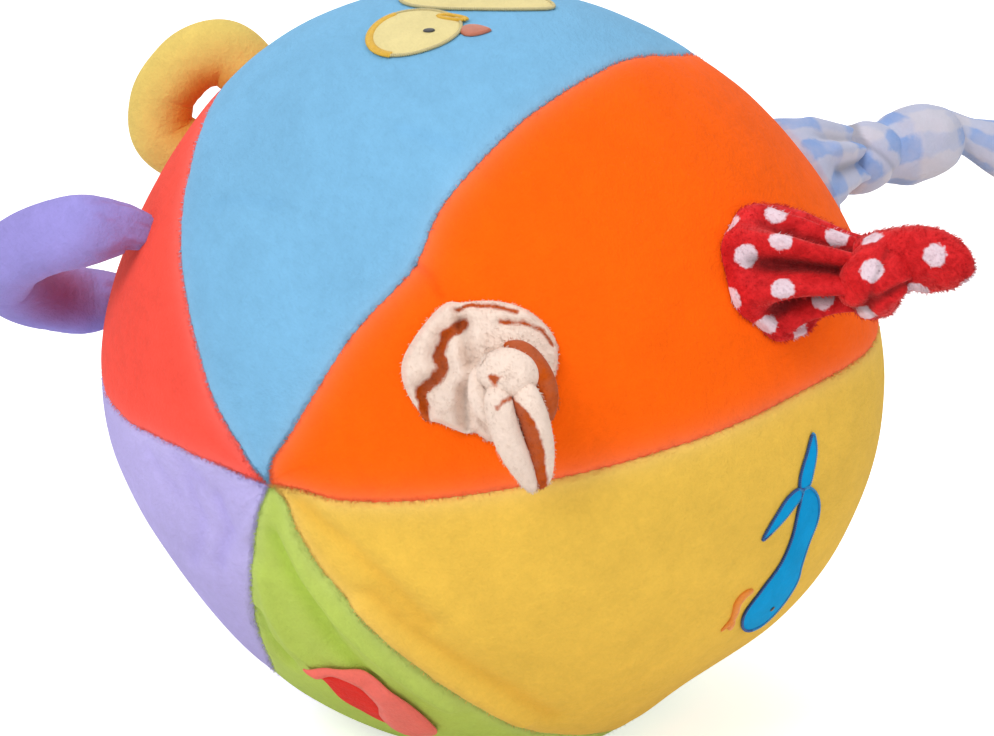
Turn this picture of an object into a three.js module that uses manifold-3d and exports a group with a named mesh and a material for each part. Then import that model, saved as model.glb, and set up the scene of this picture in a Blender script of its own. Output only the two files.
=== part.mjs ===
// Plush activity ball: six sewn gores over a stuffed core with a rattle, two stuffed finger loops,
// three knotted fabric tails, two sewn-on figures and a small lift-up pocket flap.
// Millimetres, +Z up. The ball lies on a soft flat, whose middle is the origin.

import * as THREE from 'three';
import { mergeVertices } from 'three/addons/utils/BufferGeometryUtils.js';
import Module from 'manifold-3d';

const wasm = await Module();
wasm.setup();
const DEGREE = Math.PI / 180;

// Ball
const BALL_RADIUS = 90;
const REST_FLAT_DEPTH = 5;
const POLE_AZIMUTH = -122.5;
const POLE_DROP = 5.8;
const COVER_THICKNESS = 2.2;
const SEAM_GAP = 0.3;
const SEAM_DIP = 1.1;
const SEAM_ROLL = 4.5;
const POLE_HOLE_ANGLE = 1.3;
const PANEL_ROWS = 20;
const PANEL_COLUMNS = [0, 0.04, 0.15, 0.32, 0.5, 0.68, 0.85, 0.96, 1];

// Longitudes about the pole, counted anticlockwise from the top as seen from the front pole
const SEAMS = { red_blue: 39, lavender_red: 84, green_lavender: 155.5, yellow_green: 209.5, orange_yellow: 277.5, blue_orange: 333.5 };
const goreMiddle = (start, end) => start + ((end - start + 360) % 360) / 2;
const BLUE_MIDDLE = goreMiddle(SEAMS.blue_orange, SEAMS.red_blue);
const GREEN_MIDDLE = goreMiddle(SEAMS.green_lavender, SEAMS.yellow_green);
const YELLOW_MIDDLE = goreMiddle(SEAMS.yellow_green, SEAMS.orange_yellow);
const ORANGE_MIDDLE = goreMiddle(SEAMS.orange_yellow, SEAMS.blue_orange);

// Where the stuffing pushes the cover out or lets it sink: longitude, polar angle, height, spread in degrees
const BULGES = [
  { lon: 86.4, polar: 49.8, height: 3.4, spread: 14 },
  { lon: 29.9, polar: 83.4, height: 2.6, spread: 18 },
  { lon: 327.6, polar: 118.3, height: -2.2, spread: 24 },
  { lon: 264.2, polar: 113.8, height: 2.6, spread: 24 },
  { lon: 219.7, polar: 85.9, height: -2.8, spread: 9 },
  { lon: 206, polar: 74, height: 1.6, spread: 9 },
  { lon: 129.6, polar: 44.6, height: -1.8, spread: 18 },
];

// Clearances
const SEWN_GAP = 0.35;
const STUFFING_GAP = 0.9;
const FLAT_STUFFING_GAP = 2.4;
const FIT_GAP = 0.3;

// Rattle
const CASE_RADIUS = 18;
const CASE_HEIGHT = 24;
const CASE_WALL = 1.8;
const LID_THICKNESS = 2;
const LID_PLUG_DEPTH = 3.5;
const LID_PLUG_WALL = 1.5;
const BEAD_RADIUS = 3;
const BEAD_CIRCLE = 8;
const BEAD_COUNT = 3;

// Finger loops
const LOOP_WALL = 1.6;
const LOOP_FILL_GAP = 0.4;
const LOOP_SIDES = 12;
const LOOP_STEPS = 20;
const LOOP_END_RADIUS = 4.2;

const centre = new THREE.Vector3(0, 0, BALL_RADIUS - REST_FLAT_DEPTH);
const poleAxis = new THREE.Vector3(
  Math.cos(POLE_DROP * DEGREE) * Math.cos(POLE_AZIMUTH * DEGREE),
  Math.cos(POLE_DROP * DEGREE) * Math.sin(POLE_AZIMUTH * DEGREE),
  -Math.sin(POLE_DROP * DEGREE),
);
const topAxis = new THREE.Vector3(0, 0, 1).addScaledVector(poleAxis, -poleAxis.z).normalize();
const sideAxis = new THREE.Vector3().crossVectors(poleAxis, topAxis);

function direction(lon, polar) {
  const across = Math.sin(polar * DEGREE);
  return new THREE.Vector3()
    .addScaledVector(topAxis, across * Math.cos(lon * DEGREE))
    .addScaledVector(sideAxis, across * Math.sin(lon * DEGREE))
    .addScaledVector(poleAxis, Math.cos(polar * DEGREE));
}

const bulges = BULGES.map((bulge) => ({ ...bulge, towards: direction(bulge.lon, bulge.polar) }));

function ballRadius(unit) {
  let radius = BALL_RADIUS;
  for (const bulge of bulges) {
    const angle = unit.angleTo(bulge.towards) / DEGREE;
    radius += bulge.height * Math.exp(-0.5 * (angle / bulge.spread) ** 2);
  }
  return radius;
}

// A point on the cover's outside, lifted along the ball's radius, and never under the rest flat's own lift
function onBall(unit, lift, flatLift = lift) {
  const point = unit.clone().multiplyScalar(ballRadius(unit) + lift).add(centre);
  point.z = Math.max(point.z, flatLift);
  return point;
}

// The frame of a sewn-on piece: x to its right, y upwards along the cover, z outwards
function sewnFrame(lon, polar, turn = 0) {
  const outward = direction(lon, polar);
  const up = new THREE.Vector3(0, 0, 1).addScaledVector(outward, -outward.z).normalize();
  const right = new THREE.Vector3().crossVectors(up, outward);
  const frame = new THREE.Group();
  frame.position.copy(onBall(outward, 0));
  frame.quaternion.setFromRotationMatrix(new THREE.Matrix4().makeBasis(right, up, outward));
  frame.rotateZ(turn * DEGREE);
  frame.updateMatrixWorld(true);
  return frame;
}

function coverPoint(frame, x, y, lift) {
  const unit = frame.localToWorld(new THREE.Vector3(x, y, 0)).sub(centre).normalize();
  return onBall(unit, lift);
}

function coverPointLocal(frame, x, y, lift) {
  return frame.worldToLocal(coverPoint(frame, x, y, lift));
}

function facesOutward(geometry) {
  const p = geometry.attributes.position;
  const index = geometry.index;
  const a = new THREE.Vector3();
  const b = new THREE.Vector3();
  const c = new THREE.Vector3();
  let volume = 0;
  for (let i = 0; i < index.count; i += 3) {
    a.fromBufferAttribute(p, index.getX(i));
    b.fromBufferAttribute(p, index.getX(i + 1));
    c.fromBufferAttribute(p, index.getX(i + 2));
    volume += a.dot(b.cross(c));
  }
  return volume > 0;
}

function closedGeometry(points, triangles) {
  const geometry = new THREE.BufferGeometry();
  geometry.setAttribute('position', new THREE.Float32BufferAttribute(points.flatMap((p) => [p.x, p.y, p.z]), 3));
  geometry.setIndex(triangles.flat());
  if (!facesOutward(geometry)) {
    geometry.setIndex(triangles.map(([a, b, c]) => [a, c, b]).flat());
  }
  geometry.computeVertexNormals();
  return geometry;
}

// Skin over rings of equal length. Ends are closed by a fan, by a strip, or by joining last ring to first
function loft(rings, ends = 'fan') {
  const count = rings[0].length;
  const points = rings.flat();
  const triangles = [];
  const spans = ends === 'joined' ? rings.length : rings.length - 1;
  for (let k = 0; k < spans; k += 1) {
    const low = k * count;
    const high = ((k + 1) % rings.length) * count;
    for (let i = 0; i < count; i += 1) {
      const j = (i + 1) % count;
      triangles.push([low + i, low + j, high + j], [low + i, high + j, high + i]);
    }
  }
  const last = (rings.length - 1) * count;
  if (ends === 'fan') {
    const start = points.length;
    const mean = (ring) => ring.reduce((sum, p) => sum.add(p), new THREE.Vector3()).divideScalar(count);
    points.push(mean(rings[0]), mean(rings[rings.length - 1]));
    for (let i = 0; i < count; i += 1) {
      const j = (i + 1) % count;
      triangles.push([start, j, i], [start + 1, last + i, last + j]);
    }
  }
  if (ends === 'strip') {
    for (let i = 0; i < count / 2 - 1; i += 1) {
      const j = count - 1 - i;
      triangles.push([i, j, j - 1], [i, j - 1, i + 1]);
      triangles.push([last + i, last + j - 1, last + j], [last + i, last + i + 1, last + j - 1]);
    }
  }
  return closedGeometry(points, triangles);
}

function circleRing(middle, across, along, radiusAcross, radiusAlong, sides, bump = () => 1) {
  const ring = [];
  for (let i = 0; i < sides; i += 1) {
    const angle = (2 * Math.PI * i) / sides;
    const swell = bump(angle);
    ring.push(
      middle.clone()
        .addScaledVector(across, radiusAcross * swell * Math.cos(angle))
        .addScaledVector(along, radiusAlong * swell * Math.sin(angle)),
    );
  }
  return ring;
}

function toManifold(geometry) {
  const bare = geometry.clone();
  bare.deleteAttribute('normal');
  bare.deleteAttribute('uv');
  const merged = mergeVertices(bare, 1e-4);
  return new wasm.Manifold(new wasm.Mesh({
    numProp: 3,
    vertProperties: new Float32Array(merged.attributes.position.array),
    triVerts: new Uint32Array(merged.index.array),
  }));
}

function fromManifold(manifold) {
  const mesh = manifold.getMesh();
  const geometry = new THREE.BufferGeometry();
  const points = new Float32Array(mesh.numVert * 3);
  for (let i = 0; i < mesh.numVert; i += 1) {
    points.set(mesh.vertProperties.subarray(i * mesh.numProp, i * mesh.numProp + 3), i * 3);
  }
  geometry.setAttribute('position', new THREE.BufferAttribute(points, 3));
  geometry.setIndex(new THREE.BufferAttribute(new Uint32Array(mesh.triVerts), 1));
  geometry.computeVertexNormals();
  return geometry;
}

function cut(geometry, ...tools) {
  let result = toManifold(geometry);
  for (const tool of tools) {
    result = result.subtract(toManifold(tool));
  }
  return fromManifold(result);
}

function fabric(color) {
  return new THREE.MeshStandardMaterial({ color, roughness: 0.95, metalness: 0 });
}

const materials = {
  plushRed: fabric(0xf25546),
  plushBlue: fabric(0x84bfe8),
  plushOrange: fabric(0xff6d0a),
  plushYellow: fabric(0xe6bd4f),
  plushGreen: fabric(0xb9d25f),
  plushLavender: fabric(0xb9afe1),
  plushGold: fabric(0xe6b95a),
  plushViolet: fabric(0xa091e1),
  plushCream: fabric(0xebd7c3),
  plushDotted: fabric(0xd7191e),
  clothCheck: fabric(0xb8c6e6),
  plushPaleYellow: fabric(0xf3dc8c),
  satinBlue: fabric(0x0087cd),
  stitchOrange: fabric(0xd8793f),
  stitchDark: fabric(0x1d1c22),
  fibreFill: fabric(0xf4f4f2),
  caseWhite: new THREE.MeshStandardMaterial({ color: 0xf0efe9, roughness: 0.45, metalness: 0 }),
  beadPlastic: new THREE.MeshStandardMaterial({ color: 0xd24b4b, roughness: 0.35, metalness: 0 }),
};

const toy = new THREE.Group();
toy.name = 'plush_activity_ball';

function piece(parent, name, geometry, material) {
  const mesh = new THREE.Mesh(geometry, material);
  mesh.name = name;
  parent.add(mesh);
  return mesh;
}

// Cover: six gores from pole to pole, each with its edges rolled in at the seams
function gore(lonStart, lonEnd) {
  const span = ((lonEnd - lonStart + 360) % 360);
  const rings = [];
  for (let row = 0; row <= PANEL_ROWS; row += 1) {
    const polar = POLE_HOLE_ANGLE + ((180 - 2 * POLE_HOLE_ANGLE) * row) / PANEL_ROWS;
    const across = BALL_RADIUS * Math.sin(polar * DEGREE);
    const inset = SEAM_GAP / 2 / across / DEGREE;
    const outside = [];
    const inside = [];
    for (const share of PANEL_COLUMNS) {
      const lon = lonStart + inset + (span - 2 * inset) * share;
      const unit = direction(lon, polar);
      const toSeam = Math.min(share, 1 - share) * span * DEGREE * across;
      const dip = SEAM_DIP * Math.exp(-((toSeam / SEAM_ROLL) ** 2));
      outside.push(onBall(unit, -dip, 0));
      inside.push(onBall(unit, -COVER_THICKNESS, COVER_THICKNESS));
    }
    rings.push([...outside, ...inside.reverse()]);
  }
  return loft(rings, 'strip');
}

piece(toy, 'panel_blue', gore(SEAMS.blue_orange, SEAMS.red_blue), materials.plushBlue);
piece(toy, 'panel_red', gore(SEAMS.red_blue, SEAMS.lavender_red), materials.plushRed);
piece(toy, 'panel_lavender', gore(SEAMS.lavender_red, SEAMS.green_lavender), materials.plushLavender);
piece(toy, 'panel_green', gore(SEAMS.green_lavender, SEAMS.yellow_green), materials.plushGreen);
piece(toy, 'panel_yellow', gore(SEAMS.yellow_green, SEAMS.orange_yellow), materials.plushYellow);
piece(toy, 'panel_orange', gore(SEAMS.orange_yellow, SEAMS.blue_orange), materials.plushOrange);

// Stuffing: two halves that meet across the pole axis, around the rattle's pocket
function stuffingBall() {
  const rings = [];
  const rows = 14;
  const sides = 24;
  for (let row = 0; row <= rows; row += 1) {
    const polar = 4 + (172 * row) / rows;
    const ring = [];
    for (let i = 0; i < sides; i += 1) {
      ring.push(onBall(direction((360 * i) / sides, polar), -COVER_THICKNESS - STUFFING_GAP, COVER_THICKNESS + FLAT_STUFFING_GAP));
    }
    rings.push(ring);
  }
  return loft(rings);
}

const stuffing = stuffingBall();
const pocket = new THREE.CylinderGeometry(CASE_RADIUS + FIT_GAP + 0.3, CASE_RADIUS + FIT_GAP + 0.3, CASE_HEIGHT + 2 * FIT_GAP, 24);
pocket.rotateX(Math.PI / 2);
pocket.translate(centre.x, centre.y, centre.z);
const halfSpace = new THREE.BoxGeometry(3 * BALL_RADIUS, 3 * BALL_RADIUS, 3 * BALL_RADIUS);
const poleTurn = new THREE.Quaternion().setFromUnitVectors(new THREE.Vector3(0, 0, 1), poleAxis);
function stuffingHalf(side) {
  const away = halfSpace.clone();
  away.translate(0, 0, -side * (1.5 * BALL_RADIUS - FIT_GAP / 2));
  away.applyQuaternion(poleTurn);
  away.translate(centre.x, centre.y, centre.z);
  return cut(stuffing, pocket, away);
}
piece(toy, 'stuffing_front', stuffingHalf(1), materials.fibreFill);
piece(toy, 'stuffing_back', stuffingHalf(-1), materials.fibreFill);

// Rattle: a cup and its plug lid, with beads that jump between floor and lid
const rattle = new THREE.Group();
rattle.position.copy(centre);
toy.add(rattle);
const caseFloor = -CASE_HEIGHT / 2;
const lidTop = CASE_HEIGHT / 2;
const lidUnder = lidTop - LID_THICKNESS;
const cupInside = CASE_RADIUS - CASE_WALL;
const plugOutside = cupInside - FIT_GAP;
function turned(profile, sides) {
  const geometry = new THREE.LatheGeometry(profile.map(([r, z]) => new THREE.Vector2(r, z)), sides);
  geometry.rotateX(Math.PI / 2);
  geometry.deleteAttribute('normal');
  geometry.deleteAttribute('uv');
  const merged = mergeVertices(geometry, 1e-4);
  merged.computeVertexNormals();
  return merged;
}
const cup = turned([
  [0, caseFloor], [CASE_RADIUS, caseFloor], [CASE_RADIUS, lidUnder - FIT_GAP], [cupInside, lidUnder - FIT_GAP],
  [cupInside, caseFloor + CASE_WALL], [0, caseFloor + CASE_WALL],
], 24);
const lid = turned([
  [0, lidUnder], [plugOutside - LID_PLUG_WALL, lidUnder], [plugOutside - LID_PLUG_WALL, lidUnder - LID_PLUG_DEPTH],
  [plugOutside, lidUnder - LID_PLUG_DEPTH], [plugOutside, lidUnder], [CASE_RADIUS, lidUnder], [CASE_RADIUS, lidTop], [0, lidTop],
], 24);
piece(rattle, 'rattle_cup', cup, materials.caseWhite);
piece(rattle, 'rattle_lid', lid, materials.caseWhite);
for (let i = 0; i < BEAD_COUNT; i += 1) {
  const angle = (2 * Math.PI * i) / BEAD_COUNT;
  const bead = piece(rattle, `rattle_bead_${i + 1}`, new THREE.SphereGeometry(BEAD_RADIUS, 10, 8), materials.beadPlastic);
  bead.position.set(BEAD_CIRCLE * Math.cos(angle), BEAD_CIRCLE * Math.sin(angle), caseFloor + CASE_WALL + FIT_GAP + BEAD_RADIUS);
}

// A stuffed loop: a tapering plush tube whose two rounded ends are sewn to the cover, and the fill inside it
function sweepRings(curve, planeNormal, radiusAt, shrink, tipAngles) {
  const rings = [];
  const frameAt = (t) => {
    const tangent = curve.getTangent(t);
    const across = new THREE.Vector3().crossVectors(planeNormal, tangent).normalize();
    const along = new THREE.Vector3().crossVectors(tangent, across);
    return { middle: curve.getPoint(t), tangent, across, along };
  };
  const tip = (t, sign, angle) => {
    const { middle, tangent, across, along } = frameAt(t);
    const radius = LOOP_END_RADIUS - shrink;
    const shifted = middle.addScaledVector(tangent, sign * radius * Math.sin(angle * DEGREE));
    const flat = radius * Math.cos(angle * DEGREE);
    return circleRing(shifted, across, along, flat, flat, LOOP_SIDES);
  };
  for (const angle of tipAngles) {
    rings.push(tip(0, -1, angle));
  }
  for (let k = 0; k <= LOOP_STEPS; k += 1) {
    const t = k / LOOP_STEPS;
    const { middle, across, along } = frameAt(t);
    const [wide, deep] = radiusAt(t);
    rings.push(circleRing(middle, across, along, wide - shrink, deep - shrink, LOOP_SIDES));
  }
  for (const angle of [...tipAngles].reverse()) {
    rings.push(tip(1, 1, angle));
  }
  return rings;
}

function stuffedLoop(name, points, planeNormal, wide, deep, material) {
  const curve = new THREE.CatmullRomCurve3(points, false, 'centripetal');
  const swell = (t, full) => {
    const rise = Math.min(1, Math.min(t, 1 - t) / 0.24);
    return LOOP_END_RADIUS + (full - LOOP_END_RADIUS) * Math.sin((rise * Math.PI) / 2);
  };
  const radiusAt = (t) => [swell(t, wide), swell(t, deep)];
  const outside = sweepRings(curve, planeNormal, radiusAt, 0, [68, 35]);
  const inside = sweepRings(curve, planeNormal, radiusAt, LOOP_WALL, [58, 35]);
  const fill = sweepRings(curve, planeNormal, radiusAt, LOOP_WALL + LOOP_FILL_GAP, [50]);
  piece(toy, name, loft([...outside, ...inside.reverse()], 'joined'), material);
  piece(toy, `${name}_fill`, loft(fill), materials.fibreFill);
}

// Yellow loop: stands in an upright plane across Y, behind the ball's left shoulder
const YELLOW_LOOP = { y: 51, angle: 142.7, halfWidth: 13.6, midHeight: 14.6, crown: 10.8, footSpread: 19, wide: 8.5, deep: 7.6 };
{
  const { y, angle, halfWidth, midHeight, crown, footSpread, wide, deep } = YELLOW_LOOP;
  const out = new THREE.Vector3(Math.cos(angle * DEGREE), 0, Math.sin(angle * DEGREE));
  const along = new THREE.Vector3(-out.z, 0, out.x);
  const level = new THREE.Vector3(centre.x, y, centre.z);
  const foot = (side) => {
    const unit = new THREE.Vector3();
    let reach = Math.sqrt(BALL_RADIUS ** 2 - y ** 2);
    for (let i = 0; i < 12; i += 1) {
      const trial = level.clone().addScaledVector(along, side * footSpread).addScaledVector(out, reach);
      unit.copy(trial).sub(centre);
      const miss = unit.length() - ballRadius(unit.clone().normalize()) - LOOP_END_RADIUS - SEWN_GAP;
      reach -= miss;
    }
    return level.clone().addScaledVector(along, side * footSpread).addScaledVector(out, reach);
  };
  const surface = Math.sqrt(BALL_RADIUS ** 2 - y ** 2);
  const at = (u, v) => level.clone().addScaledVector(along, u).addScaledVector(out, surface + v);
  const points = [
    foot(-1),
    at(-halfWidth, midHeight - 5),
    at(-halfWidth * 0.94, midHeight + crown * 0.45),
    at(-halfWidth * 0.5, midHeight + crown * 0.9),
    at(0, midHeight + crown),
    at(halfWidth * 0.5, midHeight + crown * 0.9),
    at(halfWidth * 0.94, midHeight + crown * 0.45),
    at(halfWidth, midHeight - 5),
    foot(1),
  ];
  stuffedLoop('loop_yellow', points, new THREE.Vector3(0, 1, 0), wide, deep, materials.plushGold);
}

// Violet loop: its near end is sewn on the red gore's side, its far end round the back of that gore
const VIOLET_LOOP = { near: [47.6, 48.8], far: [82, 74.5], reach: 31, bulge: 4, wide: 7.8, deep: 8.8 };
{
  const { near, far, reach, bulge, wide, deep } = VIOLET_LOOP;
  const foot = ([lon, polar]) => onBall(direction(lon, polar), LOOP_END_RADIUS + SEWN_GAP);
  const start = foot(near);
  const finish = foot(far);
  const middle = start.clone().lerp(finish, 0.5);
  const span = finish.clone().sub(start);
  const half = span.length() / 2;
  const across = span.clone().normalize();
  const out = new THREE.Vector3(-1, 0, -0.12);
  out.addScaledVector(across, -out.dot(across)).normalize();
  const at = (u, v) => middle.clone().addScaledVector(across, u).addScaledVector(out, v);
  const points = [
    start,
    at(-half - bulge * 0.3, reach * 0.35),
    at(-half * 0.86, reach * 0.66),
    at(-half * 0.5, reach * 0.93),
    at(0, reach),
    at(half * 0.5, reach * 0.93),
    at(half * 0.86, reach * 0.66),
    at(half + bulge * 0.3, reach * 0.35),
    finish,
  ];
  const planeNormal = new THREE.Vector3().crossVectors(across, out).normalize();
  stuffedLoop('loop_violet', points, planeNormal, wide, deep, materials.plushViolet);
}

// Knotted tails. Lengths are in the sewn frame of each base: x right, y up along the cover, z outwards
const TAILS = {
  cream: {
    lon: ORANGE_MIDDLE - 0.5, polar: 36.8, baseRadius: 15.5, pleats: 5, pleatDepth: 0.1, neckRadius: 4,
    neck: [4.5, -1.5, 12], knot: [7.5, -3, 18.5], knotRadius: 7.4,
    links: [{ name: 'end', root: [8.6, -10.9, 19.6], bend: [9, -17, 18.2], tip: [9.6, -25.6, 12], wide: 7.2, thick: 4.6 }],
    material: materials.plushCream,
  },
  dotted: {
    lon: ORANGE_MIDDLE - 10.8, polar: 83.1, baseRadius: 16, pleats: 6, pleatDepth: 0.11, neckRadius: 4.6,
    neck: [5, -5.5, 15], knot: [5, -8, 23.5], knotRadius: 9,
    links: [{ name: 'end', root: [5.6, -9.4, 32.2], bend: [6, -10, 37], tip: [7.5, -11, 46], wide: 7.6, thick: 7 }],
    material: materials.plushDotted,
  },
  check: {
    lon: ORANGE_MIDDLE + 0.7, polar: 140.5, baseRadius: 16, pleats: 5, pleatDepth: 0.1, neckRadius: 4.6,
    neck: [4, -4.5, 11.5], knot: [5, -7, 18.6], knotRadius: 9,
    links: [
      { name: 'middle', root: [5.6, -9.8, 25.4], bend: [6, -12.5, 31.5], tip: [7.4, -17, 46], wide: 9.4, thick: 9.2, socket: 4 },
      { name: 'end', root: [7.4, -17.9, 47.6], bend: [6.4, -23.6, 55], tip: [1, -40, 67], wide: 9, thick: 5.5 },
    ],
    material: materials.clothCheck,
  },
};

const alongZ = new THREE.Vector3(0, 0, 1);
const vector = (xyz) => new THREE.Vector3(...xyz);

function flare(frame, spec) {
  const sides = 20;
  const { baseRadius, pleats, pleatDepth, neckRadius } = spec;
  const neck = vector(spec.neck);
  const ahead = vector(spec.knot).sub(neck).normalize();
  const path = new THREE.QuadraticBezierCurve3(
    new THREE.Vector3(0, 0, 0),
    new THREE.Vector3(0, 0, neck.z * 0.45),
    neck.clone(),
  );
  const fold = (angle, depth) => 1 + depth * Math.cos(pleats * angle + 0.6);
  const onCover = (share, lift) => {
    const ring = [];
    for (let i = 0; i < sides; i += 1) {
      const angle = (2 * Math.PI * i) / sides;
      const radius = share * baseRadius * fold(angle, pleatDepth * 0.5);
      ring.push(coverPointLocal(frame, radius * Math.cos(angle), radius * Math.sin(angle), lift));
    }
    return ring;
  };
  const rings = [onCover(0.3, SEWN_GAP + 0.1), onCover(0.7, SEWN_GAP + 0.1), onCover(1, SEWN_GAP), onCover(0.97, 2)];
  for (const share of [0.32, 0.5, 0.68, 0.84]) {
    const tangent = path.getTangent(share);
    const across = new THREE.Vector3(1, 0, 0).addScaledVector(tangent, -tangent.x).normalize();
    const along = new THREE.Vector3().crossVectors(tangent, across);
    const radius = neckRadius * 0.9 + (baseRadius * 0.92 - neckRadius * 0.9) * (1 - share) ** 1.5;
    const depth = pleatDepth * (0.5 + share);
    rings.push(circleRing(path.getPoint(share), across, along, radius, radius, sides, (angle) => fold(angle, depth)));
  }
  const across = new THREE.Vector3(1, 0, 0).addScaledVector(ahead, -ahead.x).normalize();
  const along = new THREE.Vector3().crossVectors(ahead, across);
  for (const angle of [-32, 0, 32, 62]) {
    const middle = neck.clone().addScaledVector(ahead, neckRadius * Math.sin(angle * DEGREE));
    const radius = neckRadius * Math.cos(angle * DEGREE);
    rings.push(circleRing(middle, across, along, radius, radius, sides));
  }
  return loft(rings);
}

// A knot: a rounded lump with the tail's wrap as a raised slanting band, hollowed where its neighbours seat
function knotLump(pivot, spec, seats) {
  const rings = [];
  const reach = vector(spec.knot).distanceTo(vector(spec.neck));
  const sides = 16;
  const radius = spec.knotRadius;
  for (const share of [-0.97, -0.82, -0.55, -0.25, 0.05, 0.35, 0.62, 0.85, 0.97]) {
    const across = radius * (1 - Math.abs(share) ** 2.6) ** (1 / 2.4);
    const ring = [];
    for (let i = 0; i < sides; i += 1) {
      const angle = (2 * Math.PI * i) / sides;
      const slant = share - 0.45 * Math.cos(angle);
      const swell = 1 + 0.09 * Math.exp(-((slant / 0.35) ** 2)) - 0.05 * Math.exp(-(((slant - 0.62) / 0.2) ** 2));
      ring.push(new THREE.Vector3(across * swell * Math.cos(angle), across * swell * Math.sin(angle), reach + share * reach));
    }
    rings.push(ring);
  }
  const tools = seats.map(({ at, radius: seat }) => {
    const hollow = new THREE.SphereGeometry(seat + FIT_GAP, 14, 10);
    const place = pivot.worldToLocal(at.clone());
    return hollow.translate(place.x, place.y, place.z);
  });
  return cut(loft(rings), ...tools);
}

// A link of the tail: a ball that seats in the knot, a narrow waist, then a leaf that swells and rounds off
function tailLink(pivot, frame, link, seats) {
  const local = (xyz) => pivot.worldToLocal(frame.localToWorld(vector(xyz)));
  const path = new THREE.QuadraticBezierCurve3(new THREE.Vector3(), local(link.bend), local(link.tip));
  const sides = 14;
  const ball = 3.4;
  const rings = [];
  const ringAt = (share, wide, thick) => {
    const tangent = path.getTangent(share);
    const across = new THREE.Vector3(1, 0, 0).addScaledVector(tangent, -tangent.x).normalize();
    const along = new THREE.Vector3().crossVectors(tangent, across);
    return circleRing(path.getPoint(share), across, along, wide, thick, sides);
  };
  const start = path.getTangent(0);
  const across = new THREE.Vector3(1, 0, 0).addScaledVector(start, -start.x).normalize();
  const along = new THREE.Vector3().crossVectors(start, across);
  for (const angle of [-62, -32, 0]) {
    const middle = start.clone().multiplyScalar(ball * Math.sin(angle * DEGREE));
    const radius = ball * Math.cos(angle * DEGREE);
    rings.push(circleRing(middle, across, along, radius, radius, sides));
  }
  const waist = 2.2 / path.getLength();
  rings.push(ringAt(waist, ball * 0.9, ball * 0.86));
  const closing = link.socket ? link.socket + 1.6 : 1.2;
  const stops = [[0.3, 0.72], [0.45, 0.93], [0.6, 1], [0.75, 0.97], [0.87, 0.85], [0.95, 0.64]];
  for (const [share, full] of stops) {
    const blend = (size) => closing + (size - closing) * full;
    rings.push(ringAt(share, blend(link.wide), blend(link.thick)));
  }
  rings.push(ringAt(1, closing, Math.min(closing, link.thick * 0.5)));
  const tools = seats.map(({ at, radius }) => {
    const hollow = new THREE.SphereGeometry(radius + FIT_GAP, 14, 10);
    const place = pivot.worldToLocal(at.clone());
    return hollow.translate(place.x, place.y, place.z);
  });
  return tools.length ? cut(loft(rings), ...tools) : loft(rings);
}

function pivotGroup(parent, frame, at, towards, name) {
  const pivot = new THREE.Group();
  pivot.name = name;
  const place = parent.worldToLocal(frame.localToWorld(vector(at)));
  const ahead = parent.worldToLocal(frame.localToWorld(vector(towards))).sub(place).normalize();
  pivot.position.copy(place);
  pivot.quaternion.setFromUnitVectors(alongZ, ahead);
  parent.add(pivot);
  pivot.updateWorldMatrix(true, false);
  return pivot;
}

for (const [key, spec] of Object.entries(TAILS)) {
  const frame = sewnFrame(spec.lon, spec.polar);
  toy.add(frame);
  piece(frame, `tail_${key}_flare`, flare(frame, spec), spec.material);
  const knotPivot = pivotGroup(frame, frame, spec.neck, spec.knot, `pivot_${key}_knot`);
  const seatAt = (xyz) => frame.localToWorld(vector(xyz));
  const linkBall = 3.4;
  const knotSeats = [{ at: seatAt(spec.neck), radius: spec.neckRadius }, { at: seatAt(spec.links[0].root), radius: linkBall }];
  piece(knotPivot, `tail_${key}_knot`, knotLump(knotPivot, spec, knotSeats), spec.material);
  let parent = knotPivot;
  spec.links.forEach((link, i) => {
    const pivot = pivotGroup(parent, frame, link.root, link.bend, `pivot_${key}_${link.name}`);
    const next = spec.links[i + 1];
    const seats = next ? [{ at: seatAt(next.root), radius: linkBall }] : [];
    piece(pivot, `tail_${key}_${link.name}`, tailLink(pivot, frame, link, seats), spec.material);
    parent = pivot;
  });
}

// Sewn-on patches: a centre on the cover, an outline in its sewn frame, and a top that follows the ball
function patch(name, frame, outline, lift, thickness, material) {
  const middle = outline.reduce((sum, p) => sum.add(p), new THREE.Vector2()).divideScalar(outline.length);
  const ringAt = (share, height) => outline.map((p) => {
    const x = middle.x + (p.x - middle.x) * share;
    const y = middle.y + (p.y - middle.y) * share;
    return coverPoint(frame, x, y, height);
  });
  const low = lift;
  const high = lift + thickness;
  const rings = [ringAt(0.4, low), ringAt(0.75, low), ringAt(1, low), ringAt(1, high - 0.3 * thickness), ringAt(0.92, high), ringAt(0.5, high)];
  piece(toy, name, loft(rings), material);
}

function ovalOutline(x, y, halfLong, halfWide, turn, taper = 0, count = 16) {
  const points = [];
  for (let i = 0; i < count; i += 1) {
    const angle = (2 * Math.PI * i) / count;
    const u = halfLong * Math.cos(angle);
    const v = halfWide * Math.sin(angle) * (1 - taper * Math.cos(angle));
    const c = Math.cos(turn * DEGREE);
    const s = Math.sin(turn * DEGREE);
    points.push(new THREE.Vector2(x + u * c - v * s, y + u * s + v * c));
  }
  return points;
}

const PATCH_THICKNESS = 1.2;
const EYE_LIFT = SEWN_GAP + PATCH_THICKNESS + FIT_GAP;

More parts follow.
